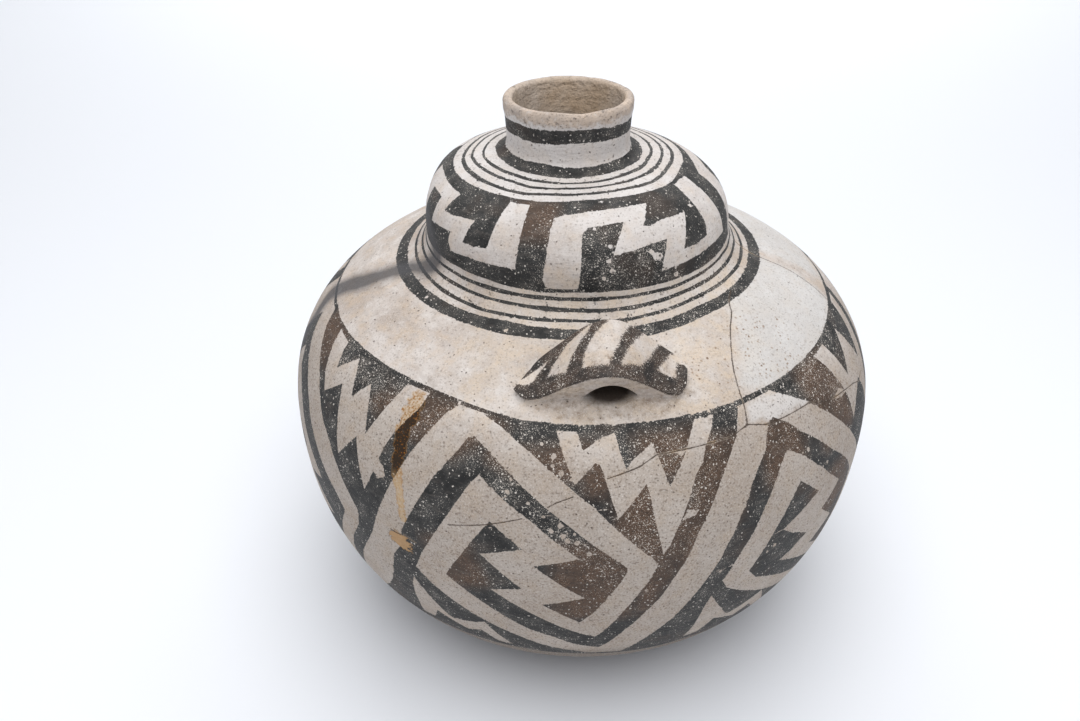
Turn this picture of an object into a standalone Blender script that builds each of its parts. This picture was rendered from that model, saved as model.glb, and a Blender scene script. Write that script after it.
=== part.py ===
"""Black-on-white pottery jar: a squat round body, a domed upper chamber, a short
neck and one strap handle on the shoulder, all one piece of fired clay.

Metres, +Z up. The jar stands on Z = 0 with its body centred on the Z axis.
The handle faces -Y.
"""

import math

import bmesh
import bpy
from mathutils import Vector

# Body: a rounded bowl below the belly and a flatter shoulder above it
BELLY_RADIUS = 0.1535
BELLY_HEIGHT = 0.1175
BOWL_POWER = 2.17
SHOULDER_RISE = 0.0922
SHOULDER_POWER = 2.5

# Base: a flat ring that the jar stands on, round a shallow dished centre
BASE_RADIUS = 0.055
BASE_RING_WIDTH = 0.014
BASE_DISH_DEPTH = 0.003
DISH_FLAT_SHARE = 0.5

# Upper chamber: it grows out of the shoulder through a soft waist
DOME_RADIUS = 0.0762
DOME_HEIGHT = 0.0356
DOME_POWER = 2.7
WAIST_FLARE = 0.0143
WAIST_RISE = 0.0176
WAIST_UNDERCUT = 0.001

# Neck and lip
NECK_RADIUS = 0.0293
NECK_FLARE = 0.0013
NECK_MIDDLE_FLARE = 0.0004
NECK_FOOT_WIDTH = 0.0077
NECK_FOOT_RISE = 0.0065
NECK_HEIGHT = 0.0265

# Walls
WALL = 0.0055
FLOOR_WALL = 0.0075
LIP_WALL = 0.0045

# The upper chamber and the neck sit a little to the left of the body
LEAN = 0.007
LEAN_LEAD = 0.012

# Strap handle, measured on the shoulder
STRAP_TURN = math.radians(7.9)
STRAP_LEFT_REACH = 0.038
STRAP_RIGHT_REACH = 0.033
STRAP_RISE = 0.0200
STRAP_THICKNESS = 0.0088
STRAP_WAIST_GAP = 0.0050
STRAP_WIDTH_ON_PLAN = 0.0205
STRAP_LOWER_BOW = 0.0060
STRAP_LEFT_TAPER = 0.0150
STRAP_RIGHT_TAPER = 0.0090
STRAP_SKEW = 0.0045
STRAP_END_HEIGHT = 0.0028
STRAP_END_FULLNESS = 0.4
STRAP_END_POWER = 9
STRAP_TAPER_POWER = 3
STRAP_BURY = 0.0026
STRAP_EDGE = 0.0018
HUMP_SHARE = 0.9
TUNNEL_WIDTH = 0.0255

# Fineness of the faceted solid
TURN_STEPS = 64
BOWL_STEPS = 12
SHOULDER_STEPS = 11
WAIST_STEPS = 5
DOME_STEPS = 9
FOOT_STEPS = 4
LIP_STEPS = 5
INNER_SKIP = 3
STRAP_STEPS = 22
STRAP_ROWS = 5
STRAP_EDGE_STEPS = 2
CORNER_ANGLE = math.radians(45)
MERGE = 0.00001

# Places that follow from the sizes
WAIST_FOOT_RADIUS = DOME_RADIUS + WAIST_FLARE
NECK_FOOT_RADIUS = NECK_RADIUS + NECK_FOOT_WIDTH
STRAP_LOWER_RADIUS = WAIST_FOOT_RADIUS + STRAP_WAIST_GAP + STRAP_WIDTH_ON_PLAN


def rounded_quarter(width, height, power, angle):
    """Point of a rounded quarter outline, at an angle seen from its centre."""
    across = math.cos(angle)
    up = math.sin(angle)
    scale = (abs(across) ** power + abs(up) ** power) ** (-1 / power)
    return Vector((width * across * scale, height * up * scale))


def shoulder_height(radius):
    """Height of the shoulder's outer face at a radius."""
    share = 1 - (radius / BELLY_RADIUS) ** SHOULDER_POWER
    return BELLY_HEIGHT + SHOULDER_RISE * share ** (1 / SHOULDER_POWER)


def shoulder_frame(radius):
    """Outer point and outward normal of the shoulder, both as radius and height."""
    out = radius / BELLY_RADIUS
    share = 1 - out ** SHOULDER_POWER
    slope = out ** (SHOULDER_POWER - 1) * share ** (1 / SHOULDER_POWER - 1)
    normal = Vector((slope * SHOULDER_RISE / BELLY_RADIUS, 1.0)).normalized()
    return Vector((radius, shoulder_height(radius))), normal


def waist_foot_height():
    """Height where the shoulder begins to turn up into the upper chamber."""
    return shoulder_height(WAIST_FOOT_RADIUS)


def dome_start():
    """Height where the upper chamber is widest."""
    return waist_foot_height() + WAIST_RISE


def neck_foot_height():
    """Height where the upper chamber meets the neck's foot."""
    share = 1 - (NECK_FOOT_RADIUS / DOME_RADIUS) ** DOME_POWER
    return dome_start() + DOME_HEIGHT * share ** (1 / DOME_POWER)


def jar_height():
    """Height of the lip."""
    return neck_foot_height() + NECK_HEIGHT


def bend(start, corner, end, steps):
    """Points of a soft bend between two points, without its ends."""
    points = []
    for step in range(1, steps + 1):
        share = step / (steps + 1)
        first = start.lerp(corner, share)
        second = corner.lerp(end, share)
        points.append(first.lerp(second, share))
    return points


def bowl_points():
    """Outer face from the base's edge up to the belly."""
    width = BELLY_RADIUS - BASE_RADIUS
    centre = Vector((BASE_RADIUS, BELLY_HEIGHT))
    angles = [-math.pi / 2 * (1 - step / BOWL_STEPS) for step in range(BOWL_STEPS + 1)]
    return [centre + rounded_quarter(width, BELLY_HEIGHT, BOWL_POWER, a) for a in angles]


def shoulder_points():
    """Outer face from above the belly to where the waist begins."""
    rise_share = (waist_foot_height() - BELLY_HEIGHT) / SHOULDER_RISE
    end_angle = math.atan2(rise_share, WAIST_FOOT_RADIUS / BELLY_RADIUS)
    points = []
    for step in range(1, SHOULDER_STEPS + 1):
        angle = end_angle * step / SHOULDER_STEPS
        point = rounded_quarter(BELLY_RADIUS, SHOULDER_RISE, SHOULDER_POWER, angle)
        points.append(point + Vector((0, BELLY_HEIGHT)))
    return points


def dome_points():
    """Outer face of the upper chamber, up to the foot of the neck."""
    rise_share = (neck_foot_height() - dome_start()) / DOME_HEIGHT
    end_angle = math.atan2(rise_share, NECK_FOOT_RADIUS / DOME_RADIUS)
    points = []
    for step in range(DOME_STEPS + 1):
        angle = end_angle * step / DOME_STEPS
        point = rounded_quarter(DOME_RADIUS, DOME_HEIGHT, DOME_POWER, angle)
        points.append(point + Vector((0, dome_start())))
    return points


def outer_profile():
    """Outer face of the jar from the base's edge to below the lip."""
    bowl = bowl_points()
    shoulder = shoulder_points()
    dome = dome_points()

    slope = (shoulder[-1] - shoulder[-2]).normalized()
    waist_radius = DOME_RADIUS - WAIST_UNDERCUT
    run = (waist_radius - shoulder[-1].x) / slope.x
    waist_corner = shoulder[-1] + slope * run
    waist = bend(shoulder[-1], waist_corner, dome[0], WAIST_STEPS)

    foot_corner = Vector((NECK_RADIUS, dome[-1].y))
    neck_start = Vector((NECK_RADIUS, dome[-1].y + NECK_FOOT_RISE))
    foot = bend(dome[-1], foot_corner, neck_start, FOOT_STEPS)

    lip_base = jar_height() - LIP_WALL / 2
    middle_height = (neck_start.y + lip_base) / 2
    neck_middle = Vector((NECK_RADIUS + NECK_MIDDLE_FLARE, middle_height))
    neck_top = Vector((NECK_RADIUS + NECK_FLARE, lip_base))
    return bowl + shoulder + waist + dome + foot + [neck_start, neck_middle, neck_top]


def wall_at(height):
    """Wall thickness: thickest in the floor, thinnest in the neck."""
    if height < BELLY_HEIGHT:
        share = height / BELLY_HEIGHT
        return FLOOR_WALL + (WALL - FLOOR_WALL) * share
    if height < dome_start():
        return WALL
    share = (height - dome_start()) / (jar_height() - dome_start())
    return WALL + (LIP_WALL - WALL) * share


def inner_profile(outer):
    """Inner face: some of the outer points, moved in by the wall."""
    inner = []
    for index in range(0, len(outer), INNER_SKIP):
        before = outer[max(index - 1, 0)]
        after = outer[min(index + 1, len(outer) - 1)]
        along = (after - before).normalized()
        inward = Vector((-along.y, along.x))
        if index == 0:
            inward = Vector((0, 1))
        inner.append(outer[index] + inward * wall_at(outer[index].y))
    return [point for point in inner if point.y < jar_height() - 2 * LIP_WALL]


def jar_profile():
    """Closed half section, from the floor's centre inside to the base's centre."""
    outer = outer_profile()
    inner = [Vector((0, FLOOR_WALL))] + inner_profile(outer)

    lip_centre = outer[-1] - Vector((LIP_WALL / 2, 0))
    lip = []
    for step in range(LIP_STEPS + 1):
        angle = math.pi * (1 - step / LIP_STEPS)
        lip.append(lip_centre + Vector((math.cos(angle), math.sin(angle))) * LIP_WALL / 2)

    dish_edge = Vector((BASE_RADIUS - BASE_RING_WIDTH, 0))
    dish_inner = Vector((dish_edge.x * DISH_FLAT_SHARE, BASE_DISH_DEPTH))
    base = [dish_edge, dish_inner, Vector((0, BASE_DISH_DEPTH))]
    return inner + lip + outer[-2::-1] + base


def turned_object(name, profile, collection):
    """A half section turned about Z."""
    mesh = bpy.data.meshes.new(name)
    points = [(point.x, 0, point.y) for point in profile]
    edges = [(i, i + 1) for i in range(len(points) - 1)]
    mesh.from_pydata(points, edges, [])
    item = bpy.data.objects.new(name, mesh)
    collection.objects.link(item)
    screw = item.modifiers.new("Turn", 'SCREW')
    screw.axis = 'Z'
    screw.steps = TURN_STEPS
    screw.render_steps = TURN_STEPS
    screw.use_merge_vertices = True
    screw.merge_threshold = MERGE
    return item


def strap_top(along):
    """Height of the strap's top above the shoulder, along = -1 at left, 1 at right."""
    hump = math.cos(math.pi / 2 * min(1.0, abs(along) / HUMP_SHARE)) ** 2
    return STRAP_END_HEIGHT + (STRAP_RISE - STRAP_END_HEIGHT) * hump


def strap_offset(along):
    """Distance round the shoulder from the middle of the tunnel."""
    return along * (STRAP_LEFT_REACH if along < 0 else STRAP_RIGHT_REACH)


def strap_underside(along):
    """Height of the tunnel's roof; beside the tunnel the strap sinks into the wall."""
    share = strap_offset(along) / (TUNNEL_WIDTH / 2)
    crown = STRAP_RISE - STRAP_THICKNESS
    return max(-STRAP_BURY, crown * (1 - share ** 2))


def strap_edges(along):
    """Plan radii of the strap's lower and upper edges, which close in at its ends."""
    lower = STRAP_LOWER_RADIUS + STRAP_LOWER_BOW * along ** 2
    taper = STRAP_LEFT_TAPER if along < 0 else STRAP_RIGHT_TAPER
    upper = STRAP_LOWER_RADIUS - STRAP_WIDTH_ON_PLAN + taper * abs(along) ** STRAP_TAPER_POWER
    middle = (lower + upper) / 2
    fullness = max(STRAP_END_FULLNESS, math.sqrt(1 - abs(along) ** STRAP_END_POWER))
    return middle + (lower - middle) * fullness, middle + (upper - middle) * fullness


def strap_point(along, across, through):
    """Place on the strap: across 0 at its lower edge, through 0 at its underside."""
    lower, upper = strap_edges(along)
    foot, normal = shoulder_frame(lower + (upper - lower) * across)
    height = strap_underside(along) * (1 - through) + strap_top(along) * through
    place = foot + normal * height
    skew = STRAP_SKEW * (across - 0.5)
    turn = STRAP_TURN + (strap_offset(along) + skew) / STRAP_LOWER_RADIUS
    return Vector((place.x * math.sin(turn), -place.x * math.cos(turn), place.y))


def strap_object(collection):
    """The strap: a bar cut into short lengths, then bent over the shoulder."""
    bar = bmesh.new()
    bmesh.ops.create_cube(bar, size=1)
    cuts = [(Vector((1, 0, 0)), step / STRAP_STEPS - 0.5) for step in range(1, STRAP_STEPS)]
    cuts += [(Vector((0, 1, 0)), step / STRAP_ROWS - 0.5) for step in range(1, STRAP_ROWS)]
    for normal, place in cuts:
        geometry = bar.verts[:] + bar.edges[:] + bar.faces[:]
        bmesh.ops.bisect_plane(bar, geom=geometry, plane_co=normal * place, plane_no=normal)
    for vertex in bar.verts:
        along, across, through = vertex.co + Vector((0.5, 0.5, 0.5))
        vertex.co = strap_point(2 * along - 1, across, through)
    bmesh.ops.recalc_face_normals(bar, faces=bar.faces[:])
    mesh = bpy.data.meshes.new("strap_tool")
    bar.to_mesh(mesh)
    bar.free()
    strap = bpy.data.objects.new("strap_tool", mesh)
    collection.objects.link(strap)
    strap.hide_render = True
    strap.display_type = 'WIRE'
    bevel = strap.modifiers.new("Soft edges", 'BEVEL')
    bevel.width = STRAP_EDGE
    bevel.segments = STRAP_EDGE_STEPS
    bevel.limit_method = 'ANGLE'
    bevel.angle_limit = CORNER_ANGLE
    return strap


def lean_offset(height):
    """How far the jar has moved to the left at a height."""
    start = waist_foot_height() - LEAN_LEAD
    share = (height - start) / (neck_foot_height() - start)
    return -LEAN * min(1.0, max(0.0, share))


def clay_material():
    """Fired clay under a white slip."""
    material = bpy.data.materials.new("white_slipped_clay")
    material.use_nodes = True
    shader = material.node_tree.nodes["Principled BSDF"]
    shader.inputs["Base Color"].default_value = (0.52, 0.45, 0.38, 1)
    shader.inputs["Roughness"].default_value = 0.75
    shader.inputs["Metallic"].default_value = 0.0
    return material


def make_jar():
    """Turn the jar, join its handle and let its top lean."""
    parts = bpy.data.collections.new("pottery_jar")
    tools = bpy.data.collections.new("jar_tools")
    bpy.context.scene.collection.children.link(parts)
    bpy.context.scene.collection.children.link(tools)

    turned = turned_object("jar_turned", jar_profile(), tools)
    join = turned.modifiers.new("Handle", 'BOOLEAN')
    join.operation = 'UNION'
    join.solver = 'EXACT'
    join.object = strap_object(tools)

    bpy.context.view_layer.update()
    depsgraph = bpy.context.evaluated_depsgraph_get()
    mesh = bpy.data.meshes.new_from_object(turned.evaluated_get(depsgraph))
    bpy.data.objects.remove(turned)
    mesh.name = "jar"
    for vertex in mesh.vertices:
        vertex.co.x += lean_offset(vertex.co.z)
    mesh.shade_smooth()
    mesh.set_sharp_from_angle(angle=CORNER_ANGLE)
    mesh.materials.clear()
    mesh.materials.append(clay_material())
    jar = bpy.data.objects.new("jar", mesh)
    parts.objects.link(jar)
    return jar


for old_object in list(bpy.data.objects):
    bpy.data.objects.remove(old_object)
make_jar()
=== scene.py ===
"""Looks of the black-on-white pottery jar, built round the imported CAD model.

Geometry is in metres, +Z up, and the handle faces -Y. Painted lines are laid out on
the wall as (turn, run): turn in degrees round the jar, 0 at -Y and growing to the
right, and run in millimetres up the outer face from the edge of the base.
"""

import math

import bpy
import numpy as np
from mathutils import Matrix, Vector, geometry, kdtree, noise


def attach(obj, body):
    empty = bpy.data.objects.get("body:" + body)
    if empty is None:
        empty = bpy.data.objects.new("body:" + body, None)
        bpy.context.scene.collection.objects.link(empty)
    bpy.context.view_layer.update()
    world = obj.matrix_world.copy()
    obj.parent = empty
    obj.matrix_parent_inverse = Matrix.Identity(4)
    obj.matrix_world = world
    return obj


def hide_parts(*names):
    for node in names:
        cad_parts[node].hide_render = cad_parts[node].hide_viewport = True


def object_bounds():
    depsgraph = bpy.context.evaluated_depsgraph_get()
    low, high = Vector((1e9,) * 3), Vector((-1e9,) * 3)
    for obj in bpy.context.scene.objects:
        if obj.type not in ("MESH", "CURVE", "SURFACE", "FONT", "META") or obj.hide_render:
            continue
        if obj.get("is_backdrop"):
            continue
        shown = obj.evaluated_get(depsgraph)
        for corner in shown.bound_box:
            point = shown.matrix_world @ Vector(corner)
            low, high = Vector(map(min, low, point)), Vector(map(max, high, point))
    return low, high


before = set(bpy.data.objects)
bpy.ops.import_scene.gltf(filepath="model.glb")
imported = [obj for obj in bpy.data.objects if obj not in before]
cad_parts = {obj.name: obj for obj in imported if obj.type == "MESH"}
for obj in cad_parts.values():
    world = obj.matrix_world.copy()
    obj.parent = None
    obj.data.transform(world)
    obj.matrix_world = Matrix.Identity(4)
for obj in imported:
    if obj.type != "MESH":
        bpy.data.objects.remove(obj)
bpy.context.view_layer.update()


# Wall of the jar
# Low-fired clay built up from coils, scraped thin and smoothed by hand: a squat round
# body, a domed upper chamber and a short neck, with the same hollow inside.

BELLY_RADIUS = 0.1535
BELLY_HEIGHT = 0.1175
BOWL_POWER = 2.17
SHOULDER_RISE = 0.0922
SHOULDER_POWER = 2.5
BASE_RADIUS = 0.055
BASE_RING_WIDTH = 0.014
BASE_DISH_DEPTH = 0.003
DOME_RADIUS = 0.0762
DOME_HEIGHT = 0.0356
DOME_POWER = 2.7
WAIST_FOOT_RADIUS = DOME_RADIUS + 0.0143
WAIST_RISE = 0.0176
WAIST_UNDERCUT = 0.001
NECK_RADIUS = 0.0293
NECK_FLARE = 0.0013
NECK_MIDDLE_FLARE = 0.0004
NECK_FOOT_RADIUS = NECK_RADIUS + 0.0077
NECK_FOOT_RISE = 0.0065
NECK_HEIGHT = 0.0265
WALL = 0.0055
FLOOR_WALL = 0.0075
LIP_WALL = 0.0045
LEAN = 0.007
LEAN_LEAD = 0.012


def rounded_arc(width, height, power, angles):
    """Points of a rounded quarter outline at angles seen from its centre."""
    across, up = np.cos(angles), np.sin(angles)
    scale = (np.abs(across) ** power + np.abs(up) ** power) ** (-1 / power)
    return np.stack([width * across * scale, height * up * scale], -1)


def soft_bend(start, corner, end, count):
    """Points of a soft bend between two points, without its ends."""
    share = np.linspace(0, 1, count + 2)[1:-1, None]
    return (1 - share) ** 2 * start + 2 * share * (1 - share) * corner + share ** 2 * end


def superellipse_height(radius, width, height, power):
    """Height of a rounded quarter outline at a radius."""
    return height * (1 - (radius / width) ** power) ** (1 / power)


WAIST_FOOT_HEIGHT = BELLY_HEIGHT + superellipse_height(
    WAIST_FOOT_RADIUS, BELLY_RADIUS, SHOULDER_RISE, SHOULDER_POWER)
DOME_START = WAIST_FOOT_HEIGHT + WAIST_RISE
NECK_FOOT_HEIGHT = DOME_START + superellipse_height(
    NECK_FOOT_RADIUS, DOME_RADIUS, DOME_HEIGHT, DOME_POWER)
JAR_HEIGHT = NECK_FOOT_HEIGHT + NECK_HEIGHT

bowl = rounded_arc(BELLY_RADIUS - BASE_RADIUS, BELLY_HEIGHT, BOWL_POWER,
                   np.linspace(-math.pi / 2, 0, 90)) + (BASE_RADIUS, BELLY_HEIGHT)
shoulder_end = math.atan2((WAIST_FOOT_HEIGHT - BELLY_HEIGHT) / SHOULDER_RISE,
                          WAIST_FOOT_RADIUS / BELLY_RADIUS)
shoulder = rounded_arc(BELLY_RADIUS, SHOULDER_RISE, SHOULDER_POWER,
                       np.linspace(0, shoulder_end, 90)[1:]) + (0, BELLY_HEIGHT)
dome_end = math.atan2((NECK_FOOT_HEIGHT - DOME_START) / DOME_HEIGHT,
                      NECK_FOOT_RADIUS / DOME_RADIUS)
dome = rounded_arc(DOME_RADIUS, DOME_HEIGHT, DOME_POWER,
                   np.linspace(0, dome_end, 60)) + (0, DOME_START)
rise = shoulder[-1] - shoulder[-2]
closing_in = DOME_RADIUS - WAIST_UNDERCUT - shoulder[-1][0]
waist_corner = shoulder[-1] + rise * closing_in / rise[0]
waist = soft_bend(shoulder[-1], waist_corner, dome[0], 14)
neck_start = np.array([NECK_RADIUS, NECK_FOOT_HEIGHT + NECK_FOOT_RISE])
neck_foot = soft_bend(dome[-1], np.array([NECK_RADIUS, NECK_FOOT_HEIGHT]), neck_start, 10)
lip_base = JAR_HEIGHT - LIP_WALL / 2
neck = np.array([neck_start,
                 (NECK_RADIUS + NECK_MIDDLE_FLARE, (neck_start[1] + lip_base) / 2),
                 (NECK_RADIUS + NECK_FLARE, lip_base)])

OUTLINE = np.vstack([bowl, shoulder, waist, dome, neck_foot, neck])
steps = np.linalg.norm(np.diff(OUTLINE, axis=0), axis=1)
RUNS = np.concatenate([[0], np.cumsum(steps)]) * 1000
FULL_RUN = RUNS[-1]


def section_place(run):
    """Radius and height of the outer face at one run or many."""
    return np.stack([np.interp(run, RUNS, line) for line in OUTLINE.T], -1)


def wall_place(turn, run):
    """Places on the outer face, before the jar leans."""
    turn = np.radians(turn)
    radius, height = section_place(run).T
    return np.stack([radius * np.sin(turn), -radius * np.cos(turn), height], -1)


def inner_face(runs):
    """Half section of the hollow, moved in from the outer face by the wall."""
    here = section_place(runs)
    along = section_place(runs + 0.5) - section_place(runs - 0.5)
    along /= np.linalg.norm(along, axis=1)[:, None]
    top_share = np.maximum(0, (here[:, 1] - DOME_START) / (JAR_HEIGHT - DOME_START))
    floor_share = np.maximum(0, 1 - here[:, 1] / BELLY_HEIGHT)
    wall = WALL + (LIP_WALL - WALL) * top_share + (FLOOR_WALL - WALL) * floor_share
    return here + np.stack([-along[:, 1], along[:, 0]], -1) * wall[:, None]


# Painted lines
# Black paint brushed by hand on the white slip before firing: six leaning lozenges, each
# a pair of hooked strokes with toothed lightning beside it, and four stepped frets on the
# upper chamber. The white figures are slip left bare, and no two figures are alike.

LOZENGE_CENTRE = [
    (-18.1, 234.2), (-15, 229.9), (-10, 220.7), (-5.3, 211.6), (0, 201), (3.4, 192.9),
    (6.3, 186.6), (8.8, 180), (8.8, 177.7), (8, 172), (5.5, 160), (3.3, 150), (1.5, 144),
    (-4.7, 156), (2.2, 162.1), (-2.5, 172), (-6, 180.2), (1.3, 185.7), (-2.8, 194.6),
    (-6.9, 203.8), (-10.6, 209.6), (-15.8, 219.2), (-17.3, 214.3), (-20.3, 198.8),
    (-22, 190.4), (-25.5, 172), (-27.5, 159), (-25, 152.1), (-21.7, 145.1), (-15.5, 134.2),
    (-10, 125.4), (-3.7, 114.8), (1.7, 109.5), (3.5, 105), (-44, 105), (-41, 114),
    (-37.8, 124), (-35.5, 134), (-34.2, 142), (-32.3, 160), (-30, 170), (-29.5, 180),
    (-27.8, 190.4), (-26.3, 198.8), (-23.8, 213.2), (-20.9, 224.9), (-19.2, 232.9)]
HOOK_CENTRE = [
    (-17.5, 244), (-13.4, 240), (-6.7, 230.2), (-2.2, 221.8), (3.4, 210.4), (7.5, 198.8),
    (12.2, 185.4), (13.8, 180.8), (12.7, 172), (10.3, 160), (8.3, 150), (6.3, 139),
    (4.3, 130.4), (1.3, 134.5), (-2, 140), (-7, 149.2), (-13.3, 161.3), (-8, 165.2),
    (-14.8, 182.2), (-7.8, 188.6), (-13.2, 200), (-15, 193.2), (-18, 179.3), (-20.5, 167.4),
    (-21.3, 162.4), (-19.7, 159.2), (-15.3, 150.6), (-10, 139.8), (-6.7, 133.3),
    (-3, 128.6), (0.8, 120.9), (5.2, 116.5), (6.3, 120.4), (8.5, 131.5), (12.3, 148.6),
    (14.6, 158), (16.4, 168.5), (18.6, 180.3), (20.2, 192), (22.5, 203.3), (25, 214.7),
    (27.7, 224), (29.8, 230.3), (32.1, 241), (32.4, 244)]
LIGHTNING_CENTRE = [
    (-3.3, 241.3), (-2.5, 235.4), (-1.3, 228.8), (0.2, 219.8), (2.5, 225.4), (3.6, 228.6),
    (4.4, 227.9), (5, 224.3), (5.8, 217.1), (7.2, 205.2), (9.1, 210.4), (12, 218.9),
    (12.5, 214), (13, 203.8), (14.5, 185.4), (15.6, 190), (16.8, 197.6), (18.9, 209.8),
    (20.6, 219), (22.3, 224), (23.4, 230), (25, 234.7), (26.6, 241.5), (22.6, 241.5),
    (20.9, 235), (19.4, 228.7), (15.9, 216.4), (14.7, 227.7), (13.8, 235), (10.3, 229.6),
    (8.8, 225.9), (8, 232.1), (7.2, 240.7), (4.4, 238.2), (1.6, 233.7), (0.3, 241.3)]
LOW_LIGHTNING = [
    (-28.6, 149.8), (-26, 137.4), (-23.2, 124.8), (-22.3, 123.4), (-17.3, 128.6),
    (-15.5, 131.8), (-14, 123.3), (-12, 113.3), (-11.3, 109.5), (-14, 109), (-16.8, 120.6),
    (-20, 115), (-25.8, 124.7), (-28, 112), (-30.8, 111), (-30, 125), (-29.7, 136.8),
    (-29.2, 145)]

LOZENGE_RIGHT = [
    (38.6, 231.3), (41.4, 226), (43.9, 218.7), (46.1, 214), (48.9, 206.7), (51.4, 200),
    (54.5, 192.7), (56.8, 186.7), (58.9, 180.3), (61.5, 171), (61.5, 168), (60.5, 161),
    (58, 149), (56, 140), (54.5, 135), (48.5, 147), (55.2, 154), (51.1, 164), (49.1, 169.3),
    (51.8, 172.7), (54.6, 177.8), (52.1, 184), (50, 189.3), (48.2, 194.7), (45, 202.7),
    (42.9, 208.7), (40.4, 213.3), (39.1, 215.5), (37.1, 210.7), (35, 203.3), (32.5, 192.7),
    (30.5, 182), (28.6, 173.3), (26.6, 162), (25.9, 159.3), (27.1, 152.7), (30, 146),
    (36.5, 134), (42, 125), (48.5, 114.5), (53.5, 109), (55.5, 105), (9.5, 105),
    (10.8, 111.5), (13.3, 122), (17.7, 140), (20.4, 152.7), (21.8, 159.3), (23.6, 168.7),
    (24.8, 174.7), (25.4, 180), (27.1, 189.3), (28.2, 195.7), (29.5, 202), (30.5, 208),
    (32.3, 214), (34.6, 220), (35.7, 225.3), (37.1, 230)]
HOOK_RIGHT = [
    (39.8, 244), (41.6, 240.7), (44.3, 236), (48.6, 228), (52.1, 218.7), (54.3, 212.7),
    (56.4, 206.7), (58.6, 200), (62, 188.7), (65.5, 176), (66.3, 171), (64.8, 160),
    (62.5, 148), (60.5, 138), (58.5, 130), (56.5, 124), (53, 129), (50, 134.5), (45, 143),
    (38.8, 153.5), (41.8, 156), (43.6, 158.7), (45.7, 160), (42.9, 165.3), (40, 170),
    (37.8, 175.3), (42.1, 180), (46.7, 184.5), (43.2, 193.3), (41.3, 197.8), (40, 194),
    (37.9, 187.3), (36.3, 180.7), (34.1, 170), (32.9, 164.7), (31.4, 158), (33.6, 150),
    (37.5, 144), (43, 135), (46.5, 129), (50, 124.5), (54, 118.5), (58.5, 114),
    (59.7, 118), (61.8, 129), (65.5, 146), (68.5, 158), (71.5, 170), (75, 183), (78.5, 200),
    (82.5, 217), (86.5, 231), (89.5, 244)]
LIGHTNING_RIGHT = [
    (57.5, 241.5), (58.8, 234.7), (59.5, 228.7), (60.4, 222), (61, 214.7), (61.4, 202),
    (65, 208.5), (68.8, 213), (70.5, 205), (72.5, 191), (75, 203), (78.5, 216), (82.5, 230),
    (86, 241.5), (81.8, 241.5), (78.5, 231), (74, 216.4), (71.6, 238.6), (68.5, 231),
    (64.7, 220.7), (63.7, 232), (62.8, 241.5)]

LOZENGE_LEFT = [
    (-77, 233.5), (-76, 231), (-74, 226.6), (-71.7, 222.3), (-67.3, 216), (-65, 212.9),
    (-62.7, 209.1), (-60, 204.8), (-57.3, 197.3), (-55, 192.3), (-53, 186.6),
    (-50.7, 180.4), (-48.7, 176), (-47, 171.6), (-45.7, 167.3), (-45.3, 165.4),
    (-46.5, 160), (-48.8, 148), (-51, 137), (-52.7, 130.5), (-58.8, 142.5), (-52, 148.5),
    (-56.7, 157), (-61, 163.8), (-57.3, 166), (-53.7, 169.8), (-55, 173.5), (-59, 183.5),
    (-62.7, 192.9), (-65, 199.1), (-68.7, 205.4), (-71.3, 208.5), (-74, 216), (-76, 211),
    (-79, 197), (-80.5, 188), (-84, 171), (-86, 157), (-84, 150), (-80.5, 143),
    (-74, 132), (-68, 123), (-61.5, 112.5), (-56.5, 108), (-55, 105), (-101, 105),
    (-99.5, 112), (-96.5, 122), (-93.5, 140), (-91.5, 158), (-89.5, 170), (-88.5, 180),
    (-85.5, 198), (-83, 212), (-79.8, 221), (-79, 224.8), (-78, 229.8)]
HOOK_LEFT = [
    (-74, 245), (-72.3, 241.6), (-70, 235.7), (-67.3, 231.6), (-62.7, 224.8), (-60, 221),
    (-55.7, 212.9), (-53.3, 207.9), (-50, 202.3), (-46, 192.3), (-42.7, 182.3),
    (-40.5, 174.4), (-40.5, 171), (-41, 165.4), (-42, 160), (-44.5, 150), (-46.5, 139),
    (-48.3, 127), (-49.8, 119), (-52.7, 121), (-56, 126.5), (-61, 135), (-67.5, 146.5),
    (-62, 150), (-69, 167), (-61.9, 173.6), (-67.5, 185), (-69, 178), (-72, 164.5),
    (-74.7, 153), (-75.5, 148), (-74, 145), (-69.5, 137), (-64, 127.5), (-60.7, 121.5),
    (-57, 117), (-53.2, 111.5), (-49, 109.5), (-47.7, 113), (-45.5, 126), (-42.4, 143),
    (-38.9, 158), (-37, 167.3), (-35.2, 179.8), (-32.2, 200), (-29.1, 220), (-27, 230),
    (-24.9, 240), (-22.9, 245), (-23.5, 247), (-35, 247.5), (-50, 246.5), (-62, 245)]
LIGHTNING_LEFT = [
    (-63.5, 243.2), (-62.2, 237.3), (-60.7, 232.3), (-59, 226.6), (-55.5, 218.2),
    (-54, 221.6), (-51.2, 227.9), (-50.3, 224.4), (-48, 212.9), (-47, 206), (-45.7, 199.1),
    (-44.3, 204.4), (-41.8, 213.2), (-40, 203.5), (-37.9, 191.3), (-37.3, 194.8),
    (-36.2, 201.9), (-34.8, 216), (-34, 222.3), (-32.3, 231), (-30.6, 238), (-30, 245.6),
    (-35.7, 245.6), (-37, 236.6), (-38, 229.8), (-39.9, 216.6), (-41, 223.5),
    (-42.3, 230.4), (-44, 236.9), (-45.7, 231.3), (-47, 226.9), (-48.2, 231.6),
    (-49.3, 236.6), (-51.2, 241.9), (-54, 235.4), (-55.5, 231), (-56.3, 234.8),
    (-57.3, 239.1), (-57.8, 243.2)]

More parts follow.
